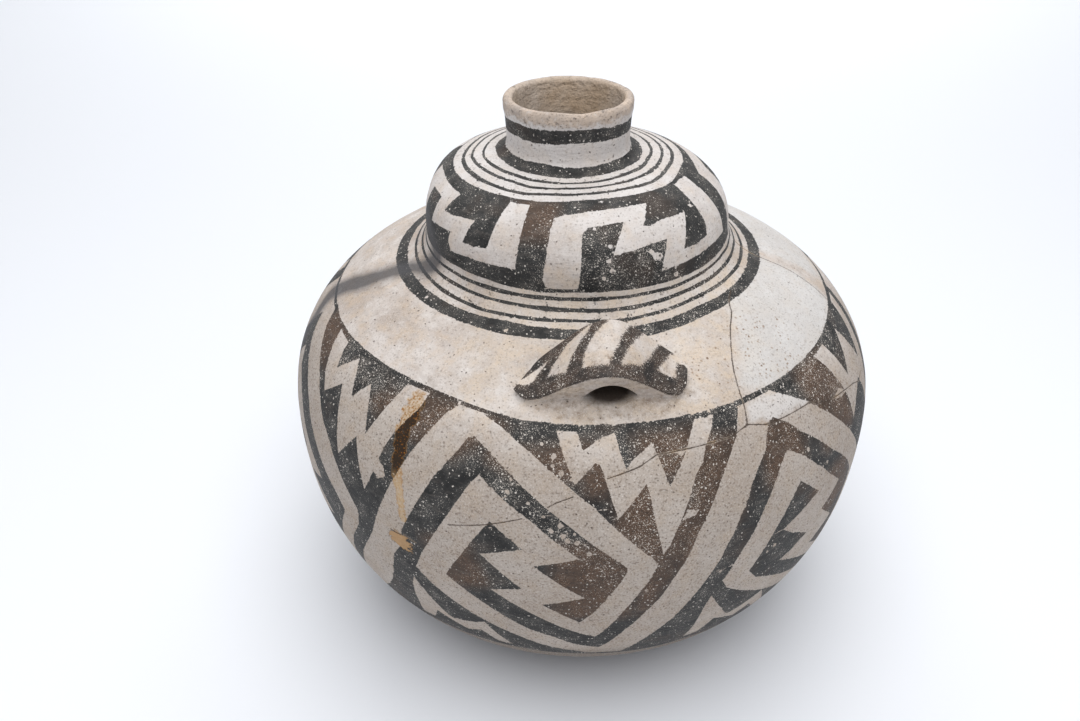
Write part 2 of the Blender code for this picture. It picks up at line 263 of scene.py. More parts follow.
FRET_CENTRE = [
    (-4.7, 340.4), (0, 342.3), (5, 343), (10, 343.8), (20, 344.2), (30, 344), (36.2, 343.6),
    (29.2, 333.4), (31.7, 332.5), (38, 334), (43, 333.7), (49.7, 333.2), (46, 327),
    (42.2, 318.6), (47, 318.3), (55.3, 319.2), (56.7, 325), (57, 335), (57.7, 342),
    (59, 346.3), (65, 346.8), (70.7, 346), (69.3, 340), (68.7, 330), (69, 322),
    (68.3, 313.9), (55, 313.3), (45, 312.5), (31.7, 312), (33, 317), (36.2, 325.3),
    (30, 325), (22, 323.8), (15.3, 322.7), (17, 327), (22.3, 336.8), (15, 336.6),
    (8, 335.6), (6, 333.5), (5.3, 330), (4.5, 323), (3.5, 315), (2.7, 309.8), (2, 308.2),
    (-8.3, 308), (-9, 312), (-8, 318), (-7, 324), (-6, 332)]
FRET_LEFT = [
    (-90, 338.5), (-84.3, 339.2), (-80, 340.3), (-70, 340.8), (-60, 340.9), (-51.7, 340.6),
    (-54, 330.1), (-49, 330), (-45, 330.9), (-36.7, 332.2), (-38.2, 326), (-39.5, 320.9),
    (-34, 321), (-28.7, 321.9), (-27.7, 328), (-26.3, 340), (-25.3, 346.3), (-20, 346.4),
    (-15.9, 346.5), (-16, 340), (-16.5, 330), (-17.3, 322), (-18.3, 315.4), (-25, 315.2),
    (-38, 314.7), (-46, 314), (-47.3, 318), (-46.5, 322.9), (-52, 322.2), (-61.2, 321),
    (-61, 328), (-61.2, 333.7), (-66, 333.8), (-74, 332.6), (-73.5, 327), (-75, 318),
    (-76, 308), (-88, 308), (-88.5, 318), (-89.5, 328)]

# Each ring at some turns: the turn, the ring's low edge and its high edge
SHOULDER_LINE = [
    (-75, 242.5, 244.3), (-60, 243.5, 246), (-50, 244.5, 247.2), (-40, 246, 248),
    (-30, 246, 248.3), (-25, 245.8, 247.5), (-20, 245, 246.5), (-15, 243.9, 245.5),
    (-10, 242.6, 244.3), (0, 242, 244.4), (20, 242, 244.1), (40, 241.9, 244.2),
    (70, 242, 244.4)]
CHAMBER_FOOT_RING = [
    (-70, 281.5, 287.8), (-60, 281.8, 288), (-50, 281.9, 288.6), (-40, 282.4, 288.7),
    (-30, 283, 289.2), (-20, 282.6, 290.2), (-5, 284, 289.8), (20, 283.3, 289.7),
    (30, 284.3, 290), (40, 285.2, 290.9), (50, 284.8, 290), (65, 284, 289.6),
    (80, 283, 289.5)]
THIN_RING_1 = [
    (-75, 292.3, 294), (-45, 292, 293.8), (-30, 291.7, 293.2), (-20, 292.3, 294),
    (0, 293.2, 294.7), (15, 292.5, 294), (45, 294, 295.5), (70, 292.7, 294.4)]
THIN_RING_2 = [
    (-75, 297.5, 299.3), (-45, 297.5, 299.2), (-30, 297.7, 299), (-10, 297.8, 299.8),
    (10, 297.5, 299), (20, 297.2, 299.2), (40, 298.3, 300), (60, 298, 299.6)]
THIN_RING_3 = [
    (-75, 302.3, 304), (-45, 302.5, 304), (-25, 302, 304.3), (0, 302.7, 304.4),
    (15, 302.5, 304), (40, 302, 303.6), (65, 302.7, 304)]
FRET_GROUND = [
    (-90, 306.8, 346.3), (-60, 306.8, 347.3), (-30, 307, 348.8), (-10, 305.7, 349.4),
    (0, 306.6, 350.1), (10, 306.3, 350.9), (30, 305.8, 350.2), (45, 305.5, 348.7),
    (60, 305.8, 348.2), (75, 306.3, 349.3), (90, 306.3, 348.4)]
TOP_RING_1 = [
    (-80, 351.2, 353.3), (-60, 351.5, 354), (-40, 351.9, 354), (-30, 351.8, 353.3),
    (-20, 352.2, 353.9), (-10, 353.4, 354.9), (10, 354, 355.7), (30, 354, 355.3),
    (40, 353, 354.9), (50, 352.4, 354), (60, 353, 354.9), (70, 353.8, 355.5)]
TOP_RING_2 = [
    (-80, 356.3, 357.7), (-60, 357.6, 359.6), (-40, 358.1, 360.1), (-30, 357.7, 359.8),
    (-20, 357, 358.6), (0, 358.3, 359.6), (40, 358.3, 359.7), (60, 358, 360),
    (80, 358.4, 359.9)]
TOP_RING_3 = [
    (-78, 362.3, 363.6), (-60, 362.7, 364.6), (-35, 362.9, 365), (-20, 362, 364),
    (0, 362.1, 363.6), (20, 362.3, 363.8), (30, 362.4, 363.9), (40, 362.9, 365),
    (60, 362.8, 364.6), (72, 363.8, 365.5)]
NECK_FOOT_RING = [
    (-80, 369.2, 375.3), (-60, 369.4, 375.2), (-40, 368.4, 375), (-20, 368, 375.2),
    (0, 367, 374.5), (10, 367.4, 374), (30, 368, 374.2), (70, 368, 374.5)]
NECK_BAND = [
    (-70, 384.1, 390.4), (-50, 384.7, 391.3), (-30, 384.1, 390.7), (-10, 384.8, 391.3),
    (10, 385.4, 391.8), (20, 385.4, 391.8), (40, 384.8, 391), (60, 384.4, 390.3)]
LOWEST_LINE = [(-90, 103.6, 106.2), (0, 103.9, 106.6), (90, 103.4, 106)]

# How far round the jar the figures are drawn again, and how far past its last row a ring
# settles to its mean place, how much it wanders and in how many waves
BACK_TURNS = (117.7, 178.7, -120.2)
LOW_LIGHTNING_TURNS = (53, -55)
RING_STEP = 2.5
RING_SETTLE = 25
RING_WANDER = 0.35
RING_WAVES = 9


def moved(outline, turn, stretch=1.0):
    """An outline drawn again further round the jar."""
    first = min(t for t, _ in outline)
    return [(first + (t - first) * stretch + turn, run) for t, run in outline]


def ring_edges(rows):
    """The low and high edge of a ring that goes right round the jar."""
    turns = [row[0] for row in rows]
    around = [-180 + RING_STEP * k for k in range(round(360 / RING_STEP) + 1)]
    edges = []
    for column in (1, 2):
        runs = [row[column] for row in rows]
        behind = (runs[0] + runs[-1]) / 2
        knots = [-180, turns[0] - RING_SETTLE] + turns + [turns[-1] + RING_SETTLE, 180]
        places = [behind, behind] + runs + [behind, behind]
        edge = []
        for t in around:
            angle = math.radians(t)
            spot = Vector((math.cos(angle), math.sin(angle), 0)) * RING_WAVES
            unsteady = RING_WANDER * noise.noise(spot + Vector((0, 0, runs[0])))
            edge.append((t, float(np.interp(t, knots, places)) + unsteady))
        edges.append(edge)
    return edges


def inside(points, outline):
    """Which points lie inside a closed outline."""
    low, high = np.min(outline, axis=0), np.max(outline, axis=0)
    near = np.flatnonzero(((points > low) & (points < high)).all(axis=1))
    x, y = points[near, 0], points[near, 1]
    crossed = np.zeros(len(near), bool)
    before = outline[-1]
    for after in outline:
        crosses = (before[1] > y) != (after[1] > y)
        slope = (after[0] - before[0]) / ((after[1] - before[1]) or 1e-9)
        crossed ^= crosses & (x < before[0] + (y - before[1]) * slope)
        before = after
    found = np.zeros(len(points), bool)
    found[near] = crossed
    return found


lozenges = [LOZENGE_CENTRE, LOZENGE_RIGHT, LOZENGE_LEFT]
hooks = [HOOK_CENTRE, HOOK_RIGHT, HOOK_LEFT]
lightnings = [LIGHTNING_CENTRE, LIGHTNING_RIGHT, LIGHTNING_LEFT, LOW_LIGHTNING]
lightnings += [moved(LOW_LIGHTNING, turn) for turn in LOW_LIGHTNING_TURNS]
for turn in BACK_TURNS:
    lozenges.append(moved(LOZENGE_CENTRE, turn))
    hooks.append(moved(HOOK_CENTRE, turn))
    lightnings += [moved(LIGHTNING_CENTRE, turn), moved(LOW_LIGHTNING, turn)]
frets = [FRET_CENTRE, FRET_LEFT,
         moved(FRET_CENTRE, 85.5, 1.06), moved(FRET_CENTRE, 178, 1.04)]
rings = [ring_edges(rows) for rows in (
    SHOULDER_LINE, CHAMBER_FOOT_RING, THIN_RING_1, THIN_RING_2, THIN_RING_3, FRET_GROUND,
    TOP_RING_1, TOP_RING_2, TOP_RING_3, NECK_FOOT_RING, NECK_BAND, LOWEST_LINE)]

# Small places where the paint has come off with a flake of the slip: turn, run, radius
FLAKES = [
    (-3.5, 230.8, 1.3), (-3.6, 227, 0.9), (-2, 224, 1.2), (-0.3, 222, 0.9),
    (-5.8, 235.5, 0.9), (-10.7, 214.3, 1.1), (-10.3, 219.7, 0.8), (-1.9, 202, 1.4),
    (-3.3, 199.3, 1.1), (-1.4, 197.2, 1.5), (-0.7, 194.9, 1.2), (0.8, 194.3, 1.3),
    (2.7, 188.6, 1.1), (-4.6, 205.5, 0.8), (0.4, 198.5, 0.7), (-7.2, 210.8, 0.7),
    (13.5, 320.5, 1.2), (14.3, 316, 1.3), (11.2, 313, 1), (37.7, 308, 1.3),
    (16.7, 349, 0.6), (10.5, 335, 0.8), (14.7, 326.5, 1), (54.7, 334.5, 0.9),
    (8.2, 186.5, 0.6), (44.2, 209.8, 1.1), (42.6, 209.6, 0.9), (36.3, 167.7, 1.2),
    (34.8, 165.8, 0.8), (25.1, 166.3, 0.8), (12.2, 165, 0.9), (49.2, 196.6, 0.9),
    (47.8, 196.2, 0.7), (-50.5, 285, 1), (-19.5, 285, 0.9)]
BIG_FLAKES = [
    [(27.5, 322), (29, 323), (30, 321), (32.5, 320), (33, 318.5), (31.5, 317),
     (29.5, 317.5), (29, 320)],
    [(16.8, 230.2), (18, 229.2), (18.6, 227.6), (19.4, 229.4), (20.2, 230.4)],
    [(57, 221), (59, 221.5), (60.5, 219), (61, 217), (58.5, 217.5), (56.5, 219.3)],
    [(17.5, 200.5), (18.5, 205), (20.4, 204), (19.9, 202), (18.6, 201.5)],
    [(-37, 211.2), (-35.4, 210.2), (-33.8, 207.1), (-33.3, 203.8), (-34.8, 201),
     (-36.2, 203.3), (-36.3, 207.6)],
    [(-23.4, 247), (-22.7, 247), (-22.8, 245), (-23.3, 245)]]
FLAKE_CORNERS = 7
FLAKE_RAGGED = (0.7, 1.2)

generator = np.random.default_rng(7)
flakes = list(BIG_FLAKES)
for turn, run, radius in FLAKES:
    mm_per_degree = math.radians(1) * section_place(run)[0] * 1000
    angles = np.linspace(0, 2 * math.pi, FLAKE_CORNERS + 1)[:-1]
    reach = radius * generator.uniform(*FLAKE_RAGGED, FLAKE_CORNERS)
    flakes.append([(turn + r * math.cos(a) / mm_per_degree, run + r * math.sin(a))
                   for a, r in zip(angles, reach)])


def closed(outline):
    """An outline as a line that comes back to its start."""
    return list(outline) + [outline[0]]


painted = lozenges + hooks
bare = lightnings + frets + flakes
brush_edges = [closed(o) for o in painted + bare] + [edge for ring in rings for edge in ring]


def inside_any(points, outlines):
    """Which points lie in one of many outlines, also where one crosses turn 180."""
    found = np.zeros(len(points), bool)
    for shift in (-360, 0, 360):
        there = points + (shift, 0)
        for outline in outlines:
            found |= inside(there, outline)
    return found


def covered_by_paint(points):
    """Which places (turn, run) carry black paint."""
    black = inside_any(points, painted)
    for low, high in rings:
        turns = [t for t, _ in low]
        lows = np.interp(points[:, 0], turns, [run for _, run in low])
        highs = np.interp(points[:, 0], turns, [run for _, run in high])
        black |= (points[:, 1] > lows) & (points[:, 1] < highs)
    return black & ~inside_any(points, bare)


# Cracks where the glued sherds meet
CRACKS = [
    [(50.5, 283.8), (49, 281), (44, 275), (41.5, 271), (39.5, 267), (37, 261), (35.5, 256),
     (34.5, 250), (34, 245), (33.7, 241), (32.7, 233)],
    [(5.6, 222.3), (7.5, 223.5), (11, 226), (14.2, 230), (20, 230.3), (29, 230.5),
     (32.7, 233)],
    [(32.7, 233), (36.5, 229.7), (40, 229), (48.5, 227.5), (53, 222.5), (56.9, 220),
     (60.6, 218), (65, 215), (68.8, 210.7), (72, 211)],
    [(-4, 209.8), (-2.5, 212.2), (0, 214.8)],
    [(-20.3, 193), (-15, 197), (-12, 199.7), (-8, 203.6)],
    [(85.5, 297.5), (83.9, 282.9), (83.7, 266.9), (80.8, 243.9)],
    [(50.5, 283.8), (53, 286.5), (56.5, 288.7)],
    [(-28.9, 177), (-27.7, 176), (-26.7, 175.6)],
    [(-32.2, 176.2), (-31.1, 176), (-29.8, 176.1)]]

# Thin stains: the edge of the smoke cloud on the left shoulder, and a rust drip that runs
# down from the shoulder to a chip in the slip
SMOKE_TRAIL = [
    (-79.6, 215), (-79.6, 228.6), (-81.1, 235.2), (-82.3, 240.4), (-79.7, 249.7),
    (-76.3, 259.8), (-73.3, 270.6), (-71.7, 280.1), (-69.5, 287), (-65.7, 293.1),
    (-60.4, 299.7), (-57, 306.1), (-62, 311), (-68, 318)]
RUST_DRIP = [(-31.9, 240.5), (-31.9, 237.9), (-31.9, 232.4), (-32.1, 226.6), (-31.4, 218.1),
             (-31.3, 209.9), (-30, 200.6), (-29.4, 193.7), (-29, 186.6)]
CHIP = [(-32.1, 174.6), (-30.4, 176.4), (-29.2, 175.8), (-28.5, 172.4), (-29.1, 168.3),
        (-30.4, 168.3), (-31.6, 170.9)]


def walk(line, step):
    """Points along a line on the wall, no further apart than a step in millimetres."""
    points = [line[0]]
    for before, after in zip(line, line[1:]):
        start, end = wall_place(*before), wall_place(*after)
        length = np.linalg.norm(end - start) * 1000
        count = max(1, math.ceil(length / step))
        for k in range(1, count + 1):
            share = k / count
            points.append((before[0] + (after[0] - before[0]) * share,
                           before[1] + (after[1] - before[1]) * share))
    return points


def search_tree(places):
    """A tree that finds the nearest of many places."""
    tree = kdtree.KDTree(len(places))
    for index, place in enumerate(places):
        tree.insert(place, index)
    tree.balance()
    return tree


def tree_of(lines, step=0.4):
    """A search tree of the places along lines on the wall."""
    return search_tree([place for line in lines
                        for place in wall_place(*np.array(walk(line, step)).T)])


# Clay of the jar
# The hollow, the base, the lower bowl and the lip are turned from a half section. The
# rest of the outer skin is laid out flat between the painted edges, so that each edge
# of the paint is an edge of the mesh, and is then wrapped round the wall.

COLUMN_STEP = 1.5
COLUMNS = round(360 / COLUMN_STEP)
SKIN_START = 96
SKIN_END = 393
ROW_STEP = 2.6
EDGE_STEP = 1.6
EDGE_CLEARANCE = 0.0007
MERGE = 0.000004
FOOT_EDGE = 0.002
# First, last and step of the closer rows and columns where the strap joins the shoulder
STRAP_ROWS = (249, 285, 1.3)
STRAP_COLUMNS = (-14.5, 31, 0.6)

bpy.ops.object.select_all(action='DESELECT')
bpy.ops.mesh.primitive_plane_add(size=0.01)
jar = bpy.context.object
jar.name = "slipped_jar"
bpy.ops.object.mode_set(mode='EDIT')
bpy.ops.mesh.delete(type='VERT')


def draw_section(points):
    """A line of the half section, drawn point by point at the front of the jar."""
    bpy.ops.mesh.select_all(action='DESELECT')
    bpy.ops.mesh.primitive_plane_add(size=0.01, location=(0, -points[0][0], points[0][1]))
    bpy.ops.mesh.merge(type='CENTER')
    for before, after in zip(points, points[1:]):
        step = (0, before[0] - after[0], after[1] - before[1])
        bpy.ops.mesh.extrude_region_move(TRANSFORM_OT_translate={"value": step})


ring_inner = BASE_RADIUS - BASE_RING_WIDTH
base = [(0, BASE_DISH_DEPTH), (ring_inner / 4, BASE_DISH_DEPTH),
        (ring_inner / 2, BASE_DISH_DEPTH), (ring_inner * 0.75, BASE_DISH_DEPTH / 2),
        (ring_inner, 0), (BASE_RADIUS - FOOT_EDGE, 0)]
draw_section(base + list(section_place(np.linspace(0, SKIN_START, 34))))

lip_middle = np.array([OUTLINE[-1][0] - LIP_WALL / 2, OUTLINE[-1][1]])
lip = [lip_middle + np.array([math.cos(a), math.sin(a)]) * LIP_WALL / 2
       for a in np.linspace(math.pi, 0, 11)]
hollow = [point for point in inner_face(np.linspace(0, FULL_RUN, 96))
          if point[1] < JAR_HEIGHT - 1.5 * LIP_WALL]
floor = [(0, FLOOR_WALL), (BASE_RADIUS / 3, FLOOR_WALL), (BASE_RADIUS * 0.7, FLOOR_WALL)]
draw_section(floor + hollow + lip + [section_place(SKIN_END)])

bpy.ops.mesh.select_all(action='SELECT')
bpy.ops.mesh.spin(steps=COLUMNS, angle=2 * math.pi, center=(0, 0, 0), axis=(0, 0, 1))
bpy.ops.object.mode_set(mode='OBJECT')

drawn_lines = brush_edges + CRACKS + [RUST_DRIP, closed(CHIP)]
edge_tree = tree_of(drawn_lines)
rows = round((SKIN_END - SKIN_START) / ROW_STEP)
grid = [(-180 + COLUMN_STEP * c, SKIN_START + (SKIN_END - SKIN_START) * r / rows)
        for r in range(rows + 1) for c in range(COLUMNS + 1)]
grid += [(turn, run) for run in np.arange(*STRAP_ROWS) for turn in np.arange(*STRAP_COLUMNS)]
places = wall_place(*np.array(grid).T)
flat = []
for (turn, run), place in zip(grid, places):
    rim = run in (SKIN_START, SKIN_END)
    if rim or edge_tree.find(place)[2] > EDGE_CLEARANCE:
        flat.append((turn, run))
joins = []
for line in drawn_lines:
    for shift in (-360, 0, 360):
        turns = [t + shift for t, _ in line]
        if max(turns) < -180 or min(turns) > 180:
            continue
        points = walk([(t + shift, run) for t, run in line], EDGE_STEP)
        first = len(flat)
        flat += points
        joins += [(first + k, first + k + 1) for k in range(len(points) - 1)]
for side in (-180, 180):
    first = len(flat)
    flat += [(side, SKIN_START), (side, SKIN_END)]
    joins.append((first, first + 1))
flat_points, _, flat_faces, *_ = geometry.delaunay_2d_cdt(
    [Vector(point) for point in flat], joins, [], 0, 0.00001, False)
flat_points = np.array([tuple(point) for point in flat_points])
corners = np.array([face for face in flat_faces if len(face) == 3])
middles = flat_points[corners].mean(axis=1)
on_jar = ((np.abs(middles[:, 0]) < 180) & (middles[:, 1] > SKIN_START)
          & (middles[:, 1] < SKIN_END))
skin_mesh = bpy.data.meshes.new("skin")
skin_mesh.from_pydata(wall_place(*flat_points.T).tolist(), [], corners[on_jar].tolist())
skin = bpy.data.objects.new("skin", skin_mesh)
bpy.context.scene.collection.objects.link(skin)

bpy.ops.object.select_all(action='DESELECT')
skin.select_set(True)
jar.select_set(True)
bpy.context.view_layer.objects.active = jar
bpy.ops.object.join()
bpy.ops.object.mode_set(mode='EDIT')
bpy.ops.mesh.select_all(action='SELECT')
bpy.ops.mesh.delete_loose()
bpy.ops.mesh.select_all(action='SELECT')
bpy.ops.mesh.remove_doubles(threshold=MERGE)
bpy.ops.mesh.normals_make_consistent(inside=False)
bpy.ops.object.mode_set(mode='OBJECT')


# Strap handle
# A thick strap of the same clay, bent over a finger's width of space and pressed into
# the shoulder at both ends. It runs round the jar, with its lower edge open.

STRAP_TURN = math.radians(7.9)
STRAP_LEFT_REACH = 0.039
STRAP_RIGHT_REACH = 0.033
STRAP_RISE = 0.0200
STRAP_THICKNESS = 0.0096
STRAP_WIDTH_ON_PLAN = 0.0205
STRAP_WAIST_GAP = 0.0050
STRAP_LOWER_RADIUS = WAIST_FOOT_RADIUS + STRAP_WAIST_GAP + STRAP_WIDTH_ON_PLAN
STRAP_LOWER_BOW = 0.0060
STRAP_LEFT_TAPER = 0.0085
STRAP_RIGHT_TAPER = 0.0090
STRAP_SKEW = 0.0045
STRAP_END_HEIGHT = 0.0032
STRAP_END_FULLNESS = 0.4
STRAP_END_POWER = 9
STRAP_TAPER_POWER = 3
STRAP_BURY = 0.0026
STRAP_EDGE = 0.0024
HUMP_SHARE = 0.93
TUNNEL_WIDTH = 0.0230
TUNNEL_SHIFT = 0.0010
STRAP_CUTS = ((0, 72), (1, 20), (2, 5))


def shoulder_frame(radius):
    """Outer point and outward normal of the shoulder, both as radius and height."""
    out = radius / BELLY_RADIUS
    share = 1 - out ** SHOULDER_POWER
    slope = out ** (SHOULDER_POWER - 1) * share ** (1 / SHOULDER_POWER - 1)
    height = BELLY_HEIGHT + SHOULDER_RISE * share ** (1 / SHOULDER_POWER)
    normal = Vector((slope * SHOULDER_RISE / BELLY_RADIUS, 1.0)).normalized()
    return Vector((radius, height)), normal


def strap_edges(along):
    """Plan radii of the strap's lower and upper edges, which close in at its ends."""
    lower = STRAP_LOWER_RADIUS + STRAP_LOWER_BOW * along ** 2
    taper = STRAP_LEFT_TAPER if along < 0 else STRAP_RIGHT_TAPER
    upper = STRAP_LOWER_RADIUS - STRAP_WIDTH_ON_PLAN + taper * abs(along) ** STRAP_TAPER_POWER
    middle = (lower + upper) / 2
    fullness = max(STRAP_END_FULLNESS, math.sqrt(1 - abs(along) ** STRAP_END_POWER))
    return middle + (lower - middle) * fullness, middle + (upper - middle) * fullness


def strap_top(along):
    """Height of the strap's top above the shoulder, along it from -1 to 1."""
    hump = np.cos(np.pi / 2 * np.minimum(1, np.abs(along) / HUMP_SHARE)) ** 2
    return STRAP_END_HEIGHT + (STRAP_RISE - STRAP_END_HEIGHT) * hump


def strap_place(along, across, through):
    """Place on the strap: across 0 at its lower edge, through 0 at its underside."""
    lower, upper = strap_edges(along)
    foot, normal = shoulder_frame(lower + (upper - lower) * across)
    offset = along * (STRAP_LEFT_REACH if along < 0 else STRAP_RIGHT_REACH)
    from_crown = (offset - TUNNEL_SHIFT) / (TUNNEL_WIDTH / 2)
    roof = (STRAP_RISE - STRAP_THICKNESS) * (1 - from_crown ** 2)
    underside = max(-STRAP_BURY, roof)
    place = foot + normal * (underside * (1 - through) + float(strap_top(along)) * through)
    turn = STRAP_TURN + (offset + STRAP_SKEW * (across - 0.5)) / STRAP_LOWER_RADIUS
    return Vector((place.x * math.sin(turn), -place.x * math.cos(turn), place.y))


bpy.ops.object.select_all(action='DESELECT')
bpy.ops.mesh.primitive_cube_add(size=1)
strap = bpy.context.object
bpy.ops.object.mode_set(mode='EDIT')
for axis, cuts in STRAP_CUTS:
    for cut in range(1, cuts):
        direction = [0, 0, 0]
        direction[axis] = 1
        middle = [0, 0, 0]
        middle[axis] = cut / cuts - 0.5
        bpy.ops.mesh.select_all(action='SELECT')
        bpy.ops.mesh.bisect(plane_co=middle, plane_no=direction)
bpy.ops.object.mode_set(mode='OBJECT')
for vertex in strap.data.vertices:
    along, across, through = vertex.co + Vector((0.5, 0.5, 0.5))
    vertex.co = strap_place(2 * along - 1, across, through)
bpy.ops.object.mode_set(mode='EDIT')
bpy.ops.mesh.select_all(action='SELECT')
bpy.ops.mesh.normals_make_consistent(inside=False)
bpy.ops.object.mode_set(mode='OBJECT')
soft_edges = strap.modifiers.new("soft edges", 'BEVEL')
soft_edges.width = STRAP_EDGE
soft_edges.segments = 4
soft_edges.limit_method = 'ANGLE'
soft_edges.angle_limit = math.radians(45)
bpy.ops.object.modifier_apply(modifier=soft_edges.name)

bpy.ops.object.select_all(action='DESELECT')
jar.select_set(True)
bpy.context.view_layer.objects.active = jar
pressed_on = jar.modifiers.new("strap pressed on", 'BOOLEAN')
pressed_on.operation = 'UNION'
pressed_on.solver = 'EXACT'
pressed_on.object = strap
bpy.ops.object.modifier_apply(modifier=pressed_on.name)
bpy.data.objects.remove(strap)


# Surface of the clay
# Every place of the finished skin is measured against the plain wall: its turn, its run
# and how far it stands off the outer face. The paint, the wear and the stains use them.

def on_wall(places):
    """Turn, run and height off the outer face in millimetres, before the lean."""
    section = np.stack([np.hypot(places[:, 0], places[:, 1]), places[:, 2]], -1)
    start, step = OUTLINE[:-1], np.diff(OUTLINE, axis=0)
    length = np.linalg.norm(step, axis=1)
    run, height = np.zeros(len(places)), np.zeros(len(places))
    for first in range(0, len(places), 4000):
        part = slice(first, first + 4000)
        away = section[part, None] - start
        share = np.clip((away * step).sum(2) / length ** 2, 0, 1)
        gap = away - share[..., None] * step
        nearest = np.argmin((gap ** 2).sum(2), axis=1)
        row = np.arange(len(nearest))
        gap = gap[row, nearest]
        side = step[nearest, 1] * gap[:, 0] - step[nearest, 0] * gap[:, 1]
        run[part] = RUNS[nearest] + share[row, nearest] * length[nearest] * 1000
        height[part] = np.copysign(np.linalg.norm(gap, axis=1), side) * 1000
    return np.degrees(np.arctan2(places[:, 0], -places[:, 1])), run, height


def on_strap(turn, run):
    """Where a place of the strap lies along it and across it, as strap_place counts."""
    steps = np.linspace(-1, 1, 401)
    edges = np.array([strap_edges(float(step)) for step in steps])
    foot = np.interp(run, RUNS, OUTLINE[:, 0])
    across = np.full(len(turn), 0.5)
    for _ in range(8):
        offset = ((np.radians(turn) - STRAP_TURN) * STRAP_LOWER_RADIUS
                  - STRAP_SKEW * (across - 0.5))
        along = offset / np.where(offset < 0, STRAP_LEFT_REACH, STRAP_RIGHT_REACH)
        lower = np.interp(along, steps, edges[:, 0])
        upper = np.interp(along, steps, edges[:, 1])
        across = np.clip((foot - lower) / (upper - lower), -3, 4)
    return along, across


def read(items, field, size=1, kind=float):
    """One field of a mesh's vertices, edges, corners or faces, as an array."""
    values = np.zeros(len(items) * size, kind)
    items.foreach_get(field, values)
    return values.reshape(-1, size) if size > 1 else values


# What counts as a face of the strap, along and across as on_strap counts, and how the
# paint's edge is written, all heights and distances in millimetres
STRAP_PROUD = 0.12
STRAP_FACES_ALONG = 1.06
STRAP_FACES_ACROSS = (-0.2, 1.2)
SKIN_SLACK = 0.6
PAINT_FADE = 4.0
ON_PAINT_EDGE = 0.12
THIN_PAINT = 0.5

mesh = jar.data
places = read(mesh.vertices, "co", 3)
turn, run, height = on_wall(places)
on_outside = (height > -SKIN_SLACK) & (run > SKIN_START - 3)
edge_ends = read(mesh.edges, "vertices", 2, int)
loop_vertex = read(mesh.loops, "vertex_index", kind=int)
loop_edge = read(mesh.loops, "edge_index", kind=int)
face_size = read(mesh.polygons, "loop_total", kind=int)
loop_face = np.repeat(np.arange(len(mesh.polygons)), face_size)
edge_faces = np.bincount(loop_edge, minlength=len(mesh.edges))


def face_mean(values):
    """The mean of the vertices' values round each face."""
    return np.bincount(loop_face, values[loop_vertex]) / face_size


def border(marked):
    """Both ends of each edge between a marked face and another."""
    marked_faces = np.bincount(loop_edge, marked[loop_face], len(mesh.edges))
    return edge_ends[(marked_faces > 0) & (marked_faces < edge_faces)]


def distance_to(tree, furthest):
    """Distance from each place of the outside to those in a tree, in millimetres."""
    found = np.full(len(places), float(furthest))
    for index in np.flatnonzero(on_outside):
        found[index] = min(furthest, tree.find(places[index])[2] * 1000)
    return found


face_turn, face_run, face_height = on_wall(
    np.stack([face_mean(places[:, axis]) for axis in range(3)], -1))
face_along, face_across = on_strap(face_turn, face_run)
strap_face = ((face_height > STRAP_PROUD) & (np.abs(face_along) < STRAP_FACES_ALONG)
              & (face_across > STRAP_FACES_ACROSS[0]) & (face_across < STRAP_FACES_ACROSS[1]))
outer_face = ((np.abs(face_height) < SKIN_SLACK) & (face_run > SKIN_START)
              & (face_run < SKIN_END) & ~strap_face)

# Paint on the wall: the side of each face, then each corner's distance to the nearest
# edge of the paint in millimetres, above 0 in the paint and below 0 on the slip. A face
# with every corner on such an edge would read as none, so it gets a distance of its own.
painted_face = outer_face & covered_by_paint(np.stack([face_turn, face_run], -1))
paint_ends = border(painted_face)
starts, ends = places[paint_ends[:, 0]], places[paint_ends[:, 1]]
paint_tree = search_tree(np.concatenate([starts * (1 - share) + ends * share
                                         for share in (0, 0.25, 0.5, 0.75)]))
edge_distance = distance_to(paint_tree, PAINT_FADE)
on_end = np.zeros(len(places), bool)
on_end[paint_ends.ravel()] = True
edge_distance[on_end] = ON_PAINT_EDGE
sign = np.where(painted_face, 1, -1)[loop_face]
all_on_end = face_mean(on_end.astype(float)) > 0.99
paint_edge = sign * np.where(all_on_end[loop_face], THIN_PAINT, edge_distance[loop_vertex])
paint_edge[~outer_face[loop_face]] = -PAINT_FADE

